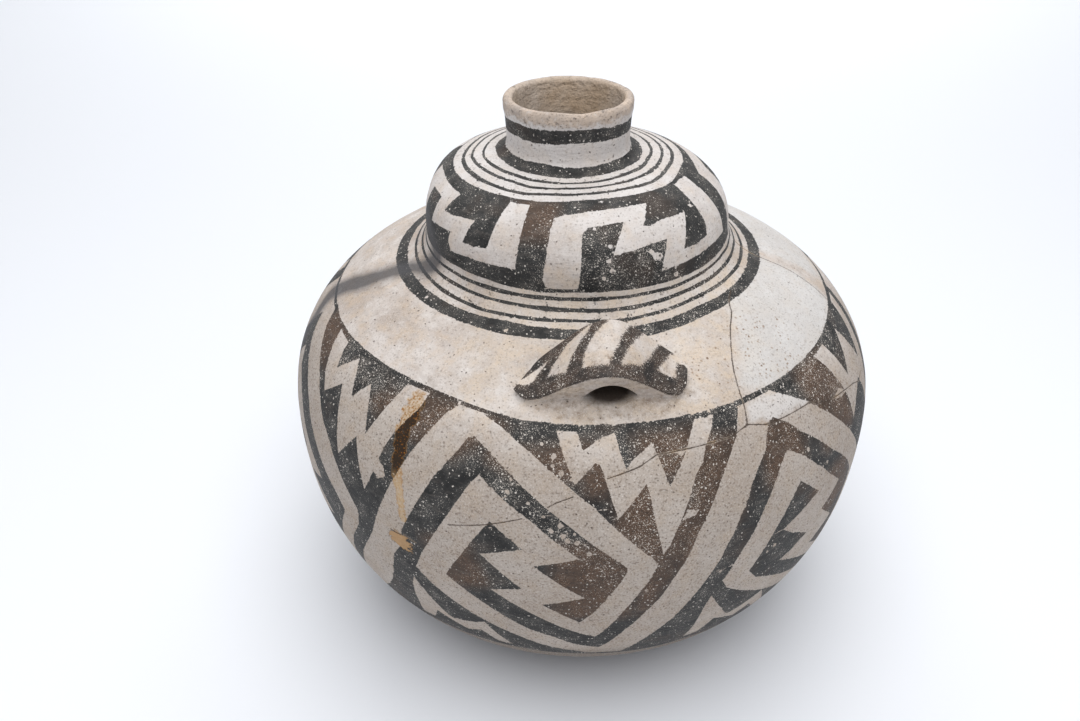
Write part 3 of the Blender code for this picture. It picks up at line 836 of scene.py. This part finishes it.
# Paint on the strap: slanting stripes and a border along its lower edge, all on its
# outer face. Each outline is typed as (along, across), as strap_place counts.
STRAP_STRIPES = [
    [(-1.2, -0.3), (-1.2, 0.25), (-0.95, 0.27), (-0.87, 0.3), (-0.8, 0.35), (-0.6, 0.31),
     (-0.5, 0.26), (-0.4, 0.2), (-0.2, 0.19), (0, 0.17), (0.2, 0.2), (0.4, 0.27),
     (0.6, 0.34), (0.8, 0.31), (0.87, 0.35), (0.89, 0.6), (0.93, 0.78), (1.02, 0.82),
     (1.2, 0.75), (1.2, -0.3)],
    [(-1.2, 0.45), (-1, 0.52), (-0.9, 0.62), (-0.8, 0.7), (-0.6, 0.8), (-0.4, 0.9),
     (-0.22, 1), (-0.22, 1.3), (-1.2, 1.4)],
    [(-0.87, 0.15), (-0.85, 0.25), (-0.81, 0.5), (-0.71, 0.75), (-0.62, 0.95),
     (-0.45, 1.0), (-0.55, 0.75), (-0.66, 0.5), (-0.69, 0.25), (-0.7, 0.15)],
    [(-0.46, 0.1), (-0.44, 0.25), (-0.41, 0.5), (-0.31, 0.75), (-0.2, 0.97), (-0.19, 1.15),
     (0.0, 1.15), (-0.02, 0.97), (-0.18, 0.75), (-0.26, 0.5), (-0.27, 0.25), (-0.27, 0.1)],
    [(-0.03, 0.05), (0.03, 0.25), (0.115, 0.5), (0.2, 0.75), (0.33, 1), (0.38, 1.15),
     (0.58, 1.15), (0.51, 1), (0.37, 0.75), (0.24, 0.5), (0.15, 0.25), (0.16, 0.05)],
    [(0.36, 0.15), (0.39, 0.25), (0.53, 0.5), (0.64, 0.75), (0.74, 0.97), (0.8, 1.1),
     (0.95, 1.1), (0.83, 0.85), (0.8, 0.75), (0.68, 0.5), (0.56, 0.25), (0.54, 0.15)]]
# How deep the paint goes down the strap's sides in millimetres: more at its ends, and
# more at its upper edge. On the slope the strap is 1.15 times as wide as on plan.
PAINT_DEPTH_ALONG = ((0.5, 0.9), (1.1, 3))
PAINT_DEPTH_ACROSS = ((0.35, 0.6), (0, 6))
STRAP_WIDTH_ON_SLOPE = STRAP_WIDTH_ON_PLAN * 1000 * 1.15

strap_vertex = np.zeros(len(places), bool)
strap_vertex[loop_vertex[strap_face[loop_face]]] = True
strap_index = np.flatnonzero(strap_vertex)
along, across = on_strap(turn[strap_index], run[strap_index])


def laid_flat(along, across):
    """Places of the strap's outer face in millimetres, as if it were laid flat."""
    reach = np.where(along < 0, STRAP_LEFT_REACH, STRAP_RIGHT_REACH) * 1000
    return np.stack([along * reach, across * STRAP_WIDTH_ON_SLOPE], -1)


def depth_in_outline(points, outline):
    """How deep points lie in an outline, below 0 outside it."""
    nearest = np.full(len(points), np.inf)
    before = outline[-1]
    for after in outline:
        step = after - before
        share = np.clip(((points - before) @ step) / (step @ step), 0, 1)
        gap = points - before - share[:, None] * step
        nearest = np.minimum(nearest, np.linalg.norm(gap, axis=1))
        before = after
    return np.where(inside(points, outline), nearest, -nearest)


strap_points = laid_flat(along, across)
stripe_depth = np.max([depth_in_outline(strap_points, laid_flat(*np.array(stripe).T))
                       for stripe in STRAP_STRIPES], axis=0)
below_outer = strap_top(along) * 1000 - height[strap_index]
paint_depth = (np.interp(np.abs(along), *PAINT_DEPTH_ALONG)
               + np.interp(across, *PAINT_DEPTH_ACROSS) - below_outer)
strap_paint = np.full(len(places), -PAINT_FADE)
strap_paint[strap_index] = np.clip(np.minimum(stripe_depth, paint_depth),
                                   -PAINT_FADE, PAINT_FADE)
paint_edge = np.where(strap_face[loop_face], strap_paint[loop_vertex], paint_edge)
attribute = mesh.attributes.new("paint_edge", 'FLOAT', 'CORNER')
attribute.data.foreach_set("value", paint_edge)


def keep(name, values):
    """Writes a value for each vertex, which the material reads by its name."""
    made = mesh.attributes.new(name, 'FLOAT', 'POINT')
    made.data.foreach_set("value", np.asarray(values, float))


def patch(outlines, fade):
    """1 inside outlines on the wall, falling to 0 at a distance outside, in mm."""
    share = np.zeros(len(places))
    spots = np.stack([turn, run], -1)
    for outline in outlines:
        low, high = np.min(outline, axis=0), np.max(outline, axis=0)
        reach = (fade / 0.5, fade)
        near = np.flatnonzero(on_outside & (spots > low - reach).all(1)
                              & (spots < high + reach).all(1))
        held = inside(spots[near], outline)
        tree = tree_of([closed(outline)], 1.0)
        for index, within in zip(near, held):
            gap = 0 if within else tree.find(wall_place(*spots[index]))[2] * 1000
            share[index] = max(share[index], 1 - gap / fade)
    return np.clip(share, 0, 1)


# Patches of stain and wear, and of dirt with painted shade at the strap's foot: how far each
# fades out in millimetres, and its outlines
STAINS = {
    "cream": (14, [
        [(-24, 283), (62, 283), (70, 300), (40, 306), (-10, 306), (-24, 300)],
        [(-22, 250), (-10, 246), (40, 246), (46, 262), (44, 282), (26, 284), (24, 262),
         (-14, 262), (-14, 282), (-26, 282)]]),
    "brown": (7, [
        [(-2, 190), (-2, 150), (8.8, 150), (8.8, 190)], [(12, 205), (12, 150), (20, 205)],
        [(8, 190), (14, 190), (14, 218), (8, 218)], [(3, 218), (5, 218), (5, 228), (3, 228)],
        [(35, 205), (42, 205), (42, 228), (35, 228)],
        [(50, 205), (60, 205), (60, 240), (50, 240)],
        [(-70, 228), (-60, 228), (-60, 243), (-70, 243)],
        [(-18, 332), (-6, 332), (-6, 346), (-18, 346)],
        [(-40, 232), (-22, 226), (-14, 240), (-30, 244)],
        [(-20, 160), (-15, 165), (-18, 185), (-24, 180)],
        [(45, 165), (58, 165), (58, 190), (45, 185)],
        [(22, 232), (30, 228), (27, 196), (18, 176)],
        [(-14, 228), (2, 234), (4, 226), (-6, 222)],
        [(12, 236), (22, 236), (20, 222), (13, 224)]]),
    "flecked": (9, [
        [(-24, 246), (-10, 238), (12, 190), (4, 184), (-6, 195), (-16, 225)],
        [(-10, 308), (36, 308), (34, 326), (12, 334), (-8, 336)],
        [(-60, 238), (45, 236), (45, 247), (-60, 248)],
        [(5, 236), (42, 236), (40, 222), (8, 220)],
        [(-50, 226), (-30, 226), (-28, 246), (-56, 244)],
        [(50, 245), (70, 245), (60, 220), (48, 225)],
        [(18, 284), (62, 284), (62, 301), (18, 301)],
        [(6, 170), (14, 178), (26, 215), (14, 222), (4, 186)]]),
    # dirt and painted shade on the wall round the tunnel's mouth, where the strap shades it
    "strap_foot_dirt_and_shade": (6, [
        [(-7, 252), (3, 247), (17, 247), (24, 253), (20, 262), (-3, 262)]]),
    "pale_sherd": (0.4, [
        [(33, 234), (34, 241), (41.9, 240), (49.7, 228.5), (40, 229.3)]]),
    "cool_sherd": (5, [
        [(36, 250), (52, 284), (82, 284), (83, 266), (80, 246), (60, 245), (40, 245)],
        [(90, 250), (90, 286), (140, 286), (140, 250)]]),
    "tan_dots": (8, [
        [(26, 262), (34, 247), (52, 246), (60, 262), (50, 276), (36, 272)]]),
    "chip": (0.9, [CHIP])}
# Stains along lines, each read as the distance to it, up to a furthest one in millimetres
LINE_STAINS = {"crack": (CRACKS, 6), "rust_drip": ([RUST_DRIP], 8),
               "smoke": ([SMOKE_TRAIL], 24)}
# The drip is narrow at its foot and wide at its top: runs, and what its distance is times
RUST_WIDTH = ((187, 205, 235), (1.5, 1, 0.65))
# How deep the bare inside starts, from which height, and where the lip's slip is worn off
HOLLOW_START = 3.4
HOLLOW_FADE = 1.2
HOLLOW_BOTTOM = 0.0045
BARE_LIP_START = 391.4
BARE_LIP_FADE = 3
BARE_LIP_DEPTH = 6

for name, (fade, outlines) in STAINS.items():
    keep(name, patch(outlines, fade))
from_line = {name: distance_to(tree_of(lines, 0.3), furthest)
             for name, (lines, furthest) in LINE_STAINS.items()}
from_line["rust_drip"] *= np.interp(run, *RUST_WIDTH)
for name, distance in from_line.items():
    keep(name, distance)
keep("run", run)
keep("hollow", np.clip((-height - HOLLOW_START) / HOLLOW_FADE, 0, 1)
     * (places[:, 2] > HOLLOW_BOTTOM))
keep("lip", np.clip((run - BARE_LIP_START) / BARE_LIP_FADE, 0, 1)
     * (height > -BARE_LIP_DEPTH))
keep("strap", strap_vertex.astype(float))

# Dirt and painted shade in the tunnel: a dark arch painted on the wall at its mouth, and all of
# the wall further in, under the strap, painted dark. Lengths along are in millimetres, those
# across in strap widths.
MOUTH_REACH = 38
MOUTH_MIDDLE = 1.2
MOUTH_HALF_WIDTH = 13.5
MOUTH_EDGE = 0.05
MOUTH_FRONT = 0.26
MOUTH_FADE = 0.45
TUNNEL_SIDE = 1.5
TUNNEL_SIDE_FADE = 0.06
TUNNEL_ALONG = 0.45
TUNNEL_ACROSS = 1.6
ROOF_CLEARANCE = 4

wall_along, wall_across = on_strap(turn, run)
mouth = np.hypot((wall_along * MOUTH_REACH - MOUTH_MIDDLE) / MOUTH_HALF_WIDTH,
                 np.minimum(wall_across - MOUTH_EDGE, 0) / MOUTH_FRONT)
tunnel_dirt_and_shade_share = np.where(height > TUNNEL_SIDE,
                     np.clip((wall_across - MOUTH_EDGE) / TUNNEL_SIDE_FADE, 0, 1),
                     np.clip((1 - mouth) / MOUTH_FADE, 0, 1))
under_roof = on_outside & (height < strap_top(wall_along) * 1000 - ROOF_CLEARANCE)
keep("tunnel_dirt_and_shade", tunnel_dirt_and_shade_share * under_roof * (np.abs(wall_along) < TUNNEL_ALONG)
     * (wall_across < TUNNEL_ACROSS))

# The joint of the strap, smoothed over with a wet finger
FILLET_REACH = 0.0014
FILLET_ROUNDS = 4

seam_tree = search_tree(places[np.unique(border(strap_face))])
bpy.ops.object.mode_set(mode='EDIT')
bpy.ops.mesh.select_all(action='DESELECT')
bpy.ops.mesh.select_mode(type='VERT')
bpy.ops.object.mode_set(mode='OBJECT')
for vertex in mesh.vertices:
    vertex.select = bool(on_outside[vertex.index]
                         and seam_tree.find(vertex.co)[2] < FILLET_REACH)
bpy.ops.object.mode_set(mode='EDIT')
bpy.ops.mesh.vertices_smooth(factor=0.5, repeat=FILLET_ROUNDS)
bpy.ops.object.mode_set(mode='OBJECT')

# Wall made by hand: slow swells of the scraped wall, small dents, a flatter left side of
# the upper chamber, a rolled and wavy lip with chips out of it, each given as its turn,
# depth and size, hairline grooves where the sherds meet, and the top leaning left
SWELL = 0.0004
SWELL_SIZE = 0.055
DENT = 0.00012
DENT_SIZE = 0.011
DENT_DEPTH = 3
TRUE_BASE = 0.004
TRUE_BASE_FADE = 0.02
FLAT_SIDE = 0.003
FLAT_SIDE_PLACE = (-88, 322)
FLAT_SIDE_SIZE = (24, 20)
LIP_ROLL = 0.0004
LIP_ROLL_RUN = 394
LIP_ROLL_SIZE = 2.2
LIP_ROLL_DEPTH = 2.4
LIP_WAVE = 0.0005
LIP_WAVE_DEPTH = 0.006
LIP_WAVES = 2.2
LIP_CHIPS = [(-28, 0.0009, 0.0016), (-37, 0.0006, 0.0012), (-13, 0.001, 0.0017),
             (-2, 0.0007, 0.0015), (22, 0.0009, 0.0016), (27, 0.0006, 0.0011),
             (-62, 0.0007, 0.002), (63, 0.0005, 0.002), (160, 0.0008, 0.0022),
             (203, 0.0006, 0.0018), (118, 0.0007, 0.0017)]
CHIP_OUT = 0.0004
CHIP_BELOW_TOP = 0.0014
CHIP_INWARD = 0.6
CHIP_DOWN = 0.8
CRACK_GROOVE = 0.00018
CRACK_HALF_WIDTH = 0.5

places = read(mesh.vertices, "co", 3)
out_turn = np.radians(turn)
outward = np.stack([np.sin(out_turn), -np.cos(out_turn), np.zeros(len(turn))], -1)
for index in range(len(places)):
    place = Vector(places[index])
    above_base = min(1.0, max(0.0, (place.z - TRUE_BASE) / TRUE_BASE_FADE))
    push = SWELL * noise.noise(place / SWELL_SIZE)
    if height[index] > -DENT_DEPTH:
        push += DENT * noise.noise(place / DENT_SIZE)
    places[index] += outward[index] * push * above_base
flat_turn = (turn - FLAT_SIDE_PLACE[0]) / FLAT_SIDE_SIZE[0]
flat_run = (run - FLAT_SIDE_PLACE[1]) / FLAT_SIDE_SIZE[1]
places -= outward * (np.exp(-flat_turn ** 2 - flat_run ** 2) * FLAT_SIDE)[:, None]
roll = np.exp(-((run - LIP_ROLL_RUN) / LIP_ROLL_SIZE) ** 2) * LIP_ROLL
roll *= height > -LIP_ROLL_DEPTH
places += outward * roll[:, None]
lip_top = np.clip((places[:, 2] - (JAR_HEIGHT - LIP_WAVE_DEPTH)) / LIP_WAVE_DEPTH, 0, 1)
for index in np.flatnonzero(lip_top > 0):
    round_lip = Vector((outward[index][0], outward[index][1], 0)) * LIP_WAVES
    places[index, 2] += LIP_WAVE * lip_top[index] * noise.noise(round_lip)
for chip_turn, depth, size in LIP_CHIPS:
    angle = math.radians(chip_turn)
    middle = np.array([math.sin(angle), -math.cos(angle), 0]) * (OUTLINE[-1][0] + CHIP_OUT)
    middle[2] = JAR_HEIGHT - CHIP_BELOW_TOP
    near = np.exp(-(np.linalg.norm(places - middle, axis=1) / size) ** 2)
    places -= outward * (near * depth * CHIP_INWARD)[:, None]
    places[:, 2] -= near * depth * CHIP_DOWN
groove = np.where(on_outside, np.clip(1 - from_line["crack"] / CRACK_HALF_WIDTH, 0, 1), 0)
groove *= CRACK_GROOVE
places -= read(mesh.vertices, "normal", 3) * groove[:, None]

lean_start = WAIST_FOOT_HEIGHT - LEAN_LEAD
lean_share = np.clip((places[:, 2] - lean_start) / (NECK_FOOT_HEIGHT - lean_start), 0, 1)
places[:, 0] -= LEAN * lean_share
mesh.vertices.foreach_set("co", places.ravel())
mesh.update()
mesh.shade_smooth()


# Fired clay with white slip and black mineral paint
# Low-fired earthenware under a thin white slip, stone-polished to a dull satin, with
# paint that fired from black to brown where the air reached it. The eye sees fine grit,
# worn paint with the slip showing through, and soft grey and cream clouds.

def colour(sheet):
    """A colour from its sRGB hex value to linear."""
    parts = [int(sheet[k:k + 2], 16) / 255 for k in (1, 3, 5)]
    return tuple(p / 12.92 if p <= 0.04045 else ((p + 0.055) / 1.055) ** 2.4
                 for p in parts) + (1,)


def add(tree, kind, inputs=None, output=0, **settings):
    """Adds a node with its settings and links, and gives one of its outputs."""
    made = tree.nodes.new(kind)
    for name, value in settings.items():
        setattr(made, name, value)
    for name, value in (inputs or {}).items():
        if isinstance(value, bpy.types.NodeSocket):
            tree.links.new(value, made.inputs[name])
        else:
            made.inputs[name].default_value = value
    return made.outputs[output]


slipped = bpy.data.materials.new("white_slip_with_black_paint")
slipped.use_nodes = True
tree = slipped.node_tree
shader = tree.nodes["Principled BSDF"]

# Grain of the clay in millimetres, and what was measured on the skin, each by its name
position = add(tree, 'ShaderNodeTexCoord', output='Object')
streaked = add(tree, 'ShaderNodeMapping', {'Vector': position, 'Scale': (1, 1, 5)})
at = {name: add(tree, 'ShaderNodeTexNoise', {'Vector': vector, 'Scale': 1000 / size,
                                             'Detail': detail, 'Roughness': 0.6})
      for name, vector, size, detail in (
          ("clouds", position, 34, 3), ("mottle", position, 9, 4), ("blotch", position, 2.6, 2),
          ("grit", position, 0.9, 2), ("fine", position, 0.45, 1), ("strokes", streaked, 9, 3))}
for name in ("paint_edge", "smoke", "cream", "brown", "flecked", "strap_foot_dirt_and_shade", "pale_sherd",
             "cool_sherd", "tan_dots", "chip", "crack", "rust_drip", "tunnel_dirt_and_shade", "run", "hollow",
             "lip", "strap"):
    at[name] = add(tree, 'ShaderNodeAttribute', output='Fac', attribute_name=name)
shaken = add(tree, 'ShaderNodeTexNoise', {'Vector': position, 'Scale': 1000 / 1.2, 'Detail': 1},
             output='Color')
shaken = add(tree, 'ShaderNodeVectorMath', {0: shaken, 1: (0.0012, 0.0012, 0.0012), 2: position},
             operation='MULTIPLY_ADD')
for name, size in (("pit", 2.2), ("fleck", 1.5)):
    cells = {'Vector': shaken, 'Scale': 1000 / size}
    at[name] = add(tree, 'ShaderNodeTexVoronoi', cells, output='Distance')
    picked = add(tree, 'ShaderNodeTexVoronoi', cells, output='Color')
    at[name + "_choice"] = add(tree, 'ShaderNodeSeparateColor', {0: picked})

# Each reading is a start and its terms added up (a name, its weight and, for some, a
# second name it is multiplied by), spread from a range to 0 and 1, times another reading
READINGS = [
    ("in_paint", -1.75, [("paint_edge", 1), ("blotch", 2), ("grit", 1.5),
                         ("strap", 0.3), ("blotch", -1.2, "strap"), ("fine", 3, "strap"),
                         ("strap", -1.0)], (-0.1, 0.14), None),
    ("pit_here", 0, [("pit_choice", 1)], (0.8, 0.83), None),
    ("pits", 0, [("pit", 1)], (0.2, 0.12), "pit_here"),
    ("dot_here", 0, [("pit_choice", 1)], (0.35, 0.4), "tan_dots"),
    ("dots", 0, [("pit", 1)], (0.3, 0.18), "dot_here"),
    ("specks", -0.19, [("fine", 1), ("flecked", 0.06), ("strap", 0.04), ("mottle", 0.34)],
     (0.67, 0.7), None),
    ("fleck_here", -0.12, [("fleck_choice", 1), ("flecked", 0.2), ("strap", 0.1),
                           ("mottle", 0.24)], (0.75, 0.82), None),
    ("worn", 0, [("fleck", 1), ("grit", 0.3)], (0.43, 0.35), "fleck_here"),
    ("smoke_half", -5, [("smoke", 1), ("clouds", 10)], (12, 2.5), None),
    ("smoked", -5, [("smoke", 1), ("clouds", 10)], (12, 2.5), "smoke_half"),
    ("rust", -2.25, [("rust_drip", 1), ("blotch", 4.5)], (3.1, 2.2), None),
    ("rust_rim", -2.25, [("rust_drip", 1), ("blotch", 4.5)], (1.4, 2.3), "rust"),
    ("rust_top", 0, [("run", 1)], (203, 210), "rust"),
    ("rust_core", 0, [("in_paint", 1)], (0, 1), "rust_top"),
    ("chipped", -0.75, [("chip", 1), ("grit", 1.5)], (0.35, 0.6), None),
    ("crack_rim", -0.375, [("crack", 1), ("grit", 0.75)], (0.6, 0.25), None),
    ("crack_core", -0.375, [("crack", 1), ("grit", 0.75)], (0.42, 0.2), None),
    ("crack_in_paint", 0, [("crack_rim", 1)], (0, 1), "in_paint"),
    ("bare_lip", -0.875, [("lip", 1), ("blotch", 1.75)], (0.35, 0.8), None),
    ("low_wall", 0, [("run", 1)], (248, 225), None),
    ("rough", 0.355, [("mottle", 0.275), ("grit", 0.275), ("hollow", 0.2)], None, None),
    ("relief", 0, [("grit", 0.16), ("strokes", 0.35), ("blotch", 0.2), ("pits", -0.2),
                   ("in_paint", 0.03), ("worn", -0.05), ("chipped", -0.5),
                   ("blotch", 0.45, "hollow"), ("blotch", 0.5, "lip")], None, None)]

for name, start, terms, spread, factor in READINGS:
    total = start
    for source, weight, *second in terms:
        part = at[source]
        if second:
            part = add(tree, 'ShaderNodeMath', {0: part, 1: at[second[0]]},
                       operation='MULTIPLY')
        total = add(tree, 'ShaderNodeMath', {0: part, 1: weight, 2: total},
                    operation='MULTIPLY_ADD')
    if spread:
        total = add(tree, 'ShaderNodeMapRange', {'Value': total, 'From Min': spread[0],
                                                 'From Max': spread[1]})
    if factor:
        total = add(tree, 'ShaderNodeMath', {0: total, 1: at[factor]}, operation='MULTIPLY')
    at[name] = total

# Each coat starts with one colour or coat, and others are laid over it: a colour or
# coat, the reading it follows from a low to a high value, its share at both ends, and
# the mark it keeps to
COATS = [
    ("slip", "#b7aaa0", [
        ("#d3cac3", "clouds", 0.36, 0.62, 0, 1, None),
        ("#c6ae93", "mottle", 0.48, 0.68, 0, 0.5, None),
        ("#e0dad5", "mottle", 0.46, 0.3, 0, 0.5, None),
        ("#a3978e", "strokes", 0.52, 0.72, 0, 0.4, None),
        # painted shade: the slip darker below the shoulder line, and much darker low on the body
        ("#a09284", "run", 246, 225, 0, 0.6, None),
        ("#6a5f55", "run", 116, 102, 0, 0.85, None),
        # painted light: the slip lighter up the upper chamber, towards the light above
        ("#d9d6d5", "run", 300, 352, 0, 0.5, None),
        ("#dccab2", "mottle", 0.35, 0.62, 0.04, 0.32, "cream"),
        ("#cfcfce", "cool_sherd", 0, 1, 0, 0.6, None),
        ("#d8d4d1", "pale_sherd", 0, 1, 0, 0.7, None),
        # brown dirt with painted shade round the tunnel's mouth under the strap
        ("#8a7662", "blotch", 0.4, 0.7, 0.1, 0.6, "strap_foot_dirt_and_shade"),
        ("#8a7767", "blotch", 0.6, 0.78, 0, 0.5, None),
        ("#e2ddd7", "fine", 0.54, 0.7, 0, 0.55, None),
        ("#6a5c50", "grit", 0.57, 0.72, 0, 0.55, None),
        ("#6a5c50", "grit", 0.53, 0.68, 0, 0.5, "low_wall"),
        ("#4d4036", "pits", 0, 1, 0, 0.8, None),
        ("#8f745a", "dots", 0, 1, 0, 0.65, None)]),
    ("paint", "#262626", [
        ("#4a4947", "mottle", 0.35, 0.68, 0, 1, None),
        ("#54453b", "clouds", 0.56, 0.68, 0, 0.45, None),
        ("#5e4a3c", "mottle", 0.3, 0.6, 0.5, 1, "brown"),
        ("#4d3d33", "mottle", 0.36, 0.6, 0.15, 0.85, "strap"),
        ("#7d756e", "strokes", 0.52, 0.78, 0, 0.35, None),
        ("#262321", "grit", 0.48, 0.34, 0, 0.55, None),
        ("#d3cabf", "specks", 0, 1, 0, 0.8, None),
        ("#d6cec5", "worn", 0, 1, 0, 0.9, None)]),
    ("lip_clay", "#9f8d7d", [
        ("#c3ad98", "mottle", 0.35, 0.65, 0, 1, None),
        ("#6f5d4d", "grit", 0.52, 0.7, 0, 0.6, None),
        ("#4a3f36", "blotch", 0.6, 0.66, 0, 0.75, None)]),
    ("inner_clay", "#b9a999", [
        ("#cdbfb1", "mottle", 0.35, 0.65, 0, 1, None),
        ("#b3946c", "clouds", 0.42, 0.62, 0, 0.45, None),
        ("#6f6054", "grit", 0.52, 0.7, 0, 0.45, None)]),
    ("surface", "slip", [
        ("paint", "in_paint", 0, 1, 0, 1, None),
        ("#4b4a4c", "smoked", 0, 1, 0, 0.85, None),
        ("#c7a26a", "grit", 0.3, 0.6, 0.25, 0.6, "rust"),
        ("#9c6a28", "mottle", 0.42, 0.6, 0.05, 0.6, "rust_rim"),
        ("#7a5220", "grit", 0.46, 0.6, 0, 0.6, "rust_top"),
        ("#20130a", "rust_core", 0, 1, 0, 0.94, None),
        ("#a5661c", "grit", 0.6, 0.68, 0, 0.7, "rust_top"),
        ("#b08c63", "chipped", 0, 1, 0, 0.95, None),
        ("#cbbba8", "mottle", 0.4, 0.55, 0, 0.8, "crack_in_paint"),
        ("#b78d4f", "mottle", 0.54, 0.68, 0, 0.6, "crack_rim"),
        ("#43372e", "crack_core", 0, 1, 0, 0.9, None),
        # dirt and painted shade deep in the tunnel under the strap
        ("#22160d", "tunnel_dirt_and_shade", 0, 1, 0, 0.95, None),
        ("lip_clay", "bare_lip", 0, 1, 0, 0.75, None),
        ("inner_clay", "hollow", 0, 1, 0, 1, None)])]

coats = {}
for coat, base, layers in COATS:
    shade = coats.get(base) or colour(base)
    for sheet, source, low, high, least, most, mark in layers:
        share = add(tree, 'ShaderNodeMapRange', {
            'Value': at[source], 'From Min': low, 'From Max': high,
            'To Min': least, 'To Max': most})
        if mark:
            share = add(tree, 'ShaderNodeMath', {0: share, 1: at[mark]},
                        operation='MULTIPLY')
        shade = add(tree, 'ShaderNodeMix', {0: share, 6: shade,
                                            7: coats.get(sheet) or colour(sheet)},
                    output=2, data_type='RGBA')
    coats[coat] = shade

tree.links.new(coats["surface"], shader.inputs["Base Color"])
tree.links.new(at["rough"], shader.inputs["Roughness"])
shader.inputs["IOR"].default_value = 1.5
shader.inputs["Specular IOR Level"].default_value = 0.25
bump = add(tree, 'ShaderNodeBump', {'Height': at["relief"], 'Distance': 0.001}, output='Normal')
tree.links.new(bump, shader.inputs["Normal"])

jar.data.materials.clear()
jar.data.materials.append(slipped)
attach(jar, "root")
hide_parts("jar")


# Table
# A wide sheet of matt white board under the jar, much larger than the view.

bpy.ops.object.select_all(action='DESELECT')
bpy.ops.mesh.primitive_plane_add(size=8, location=(0, 0, 0))
table = bpy.context.object
table.name = "table"
board = bpy.data.materials.new("matt_white_board")
board.use_nodes = True
board_shader = board.node_tree.nodes["Principled BSDF"]
board_shader.inputs["Base Color"].default_value = colour("#eef0f4")
board_shader.inputs["Roughness"].default_value = 0.85
board_shader.inputs["Specular IOR Level"].default_value = 0.2
table.data.materials.append(board)
table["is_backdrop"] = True


# Studio light
# A wide soft light above, and pale walls all round. Colours are shown as they are.

bpy.context.scene.view_settings.view_transform = 'Standard'

walls = bpy.data.worlds.new("pale_walls")
bpy.context.scene.world = walls
walls.use_nodes = True
walls.node_tree.nodes["Background"].inputs["Color"].default_value = colour("#f6f9ff")
walls.node_tree.nodes["Background"].inputs["Strength"].default_value = 0.46
for place, size, energy in (((0.03, -0.45, 1.25), 1.3, 12.5), ((0, 2.3, 1.6), 3, 45)):
    bpy.ops.object.light_add(type='AREA', location=place)
    light = bpy.context.object
    light.data.shape = 'DISK'
    light.data.size = size
    light.data.energy = energy


# Camera
# It stands in front and looks down at the shoulder, as the picture was taken.

CAMERA_PLACE = (0.00266, -0.40646, 0.40402)
CAMERA_TURN = 0.0593
CAMERA_DIP = 0.5997
CAMERA_TILT = -0.0098

bpy.ops.object.camera_add(location=CAMERA_PLACE)
camera = bpy.context.object
camera.matrix_world = (Matrix.Translation(CAMERA_PLACE) @ Matrix.Rotation(CAMERA_TURN, 4, 'Z')
                       @ Matrix.Rotation(math.pi / 2 - CAMERA_DIP, 4, 'X')
                       @ Matrix.Rotation(CAMERA_TILT, 4, 'Z'))
camera.data.lens = 29.13
camera.data.sensor_width = 36
bpy.context.scene.camera = camera

low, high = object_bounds()
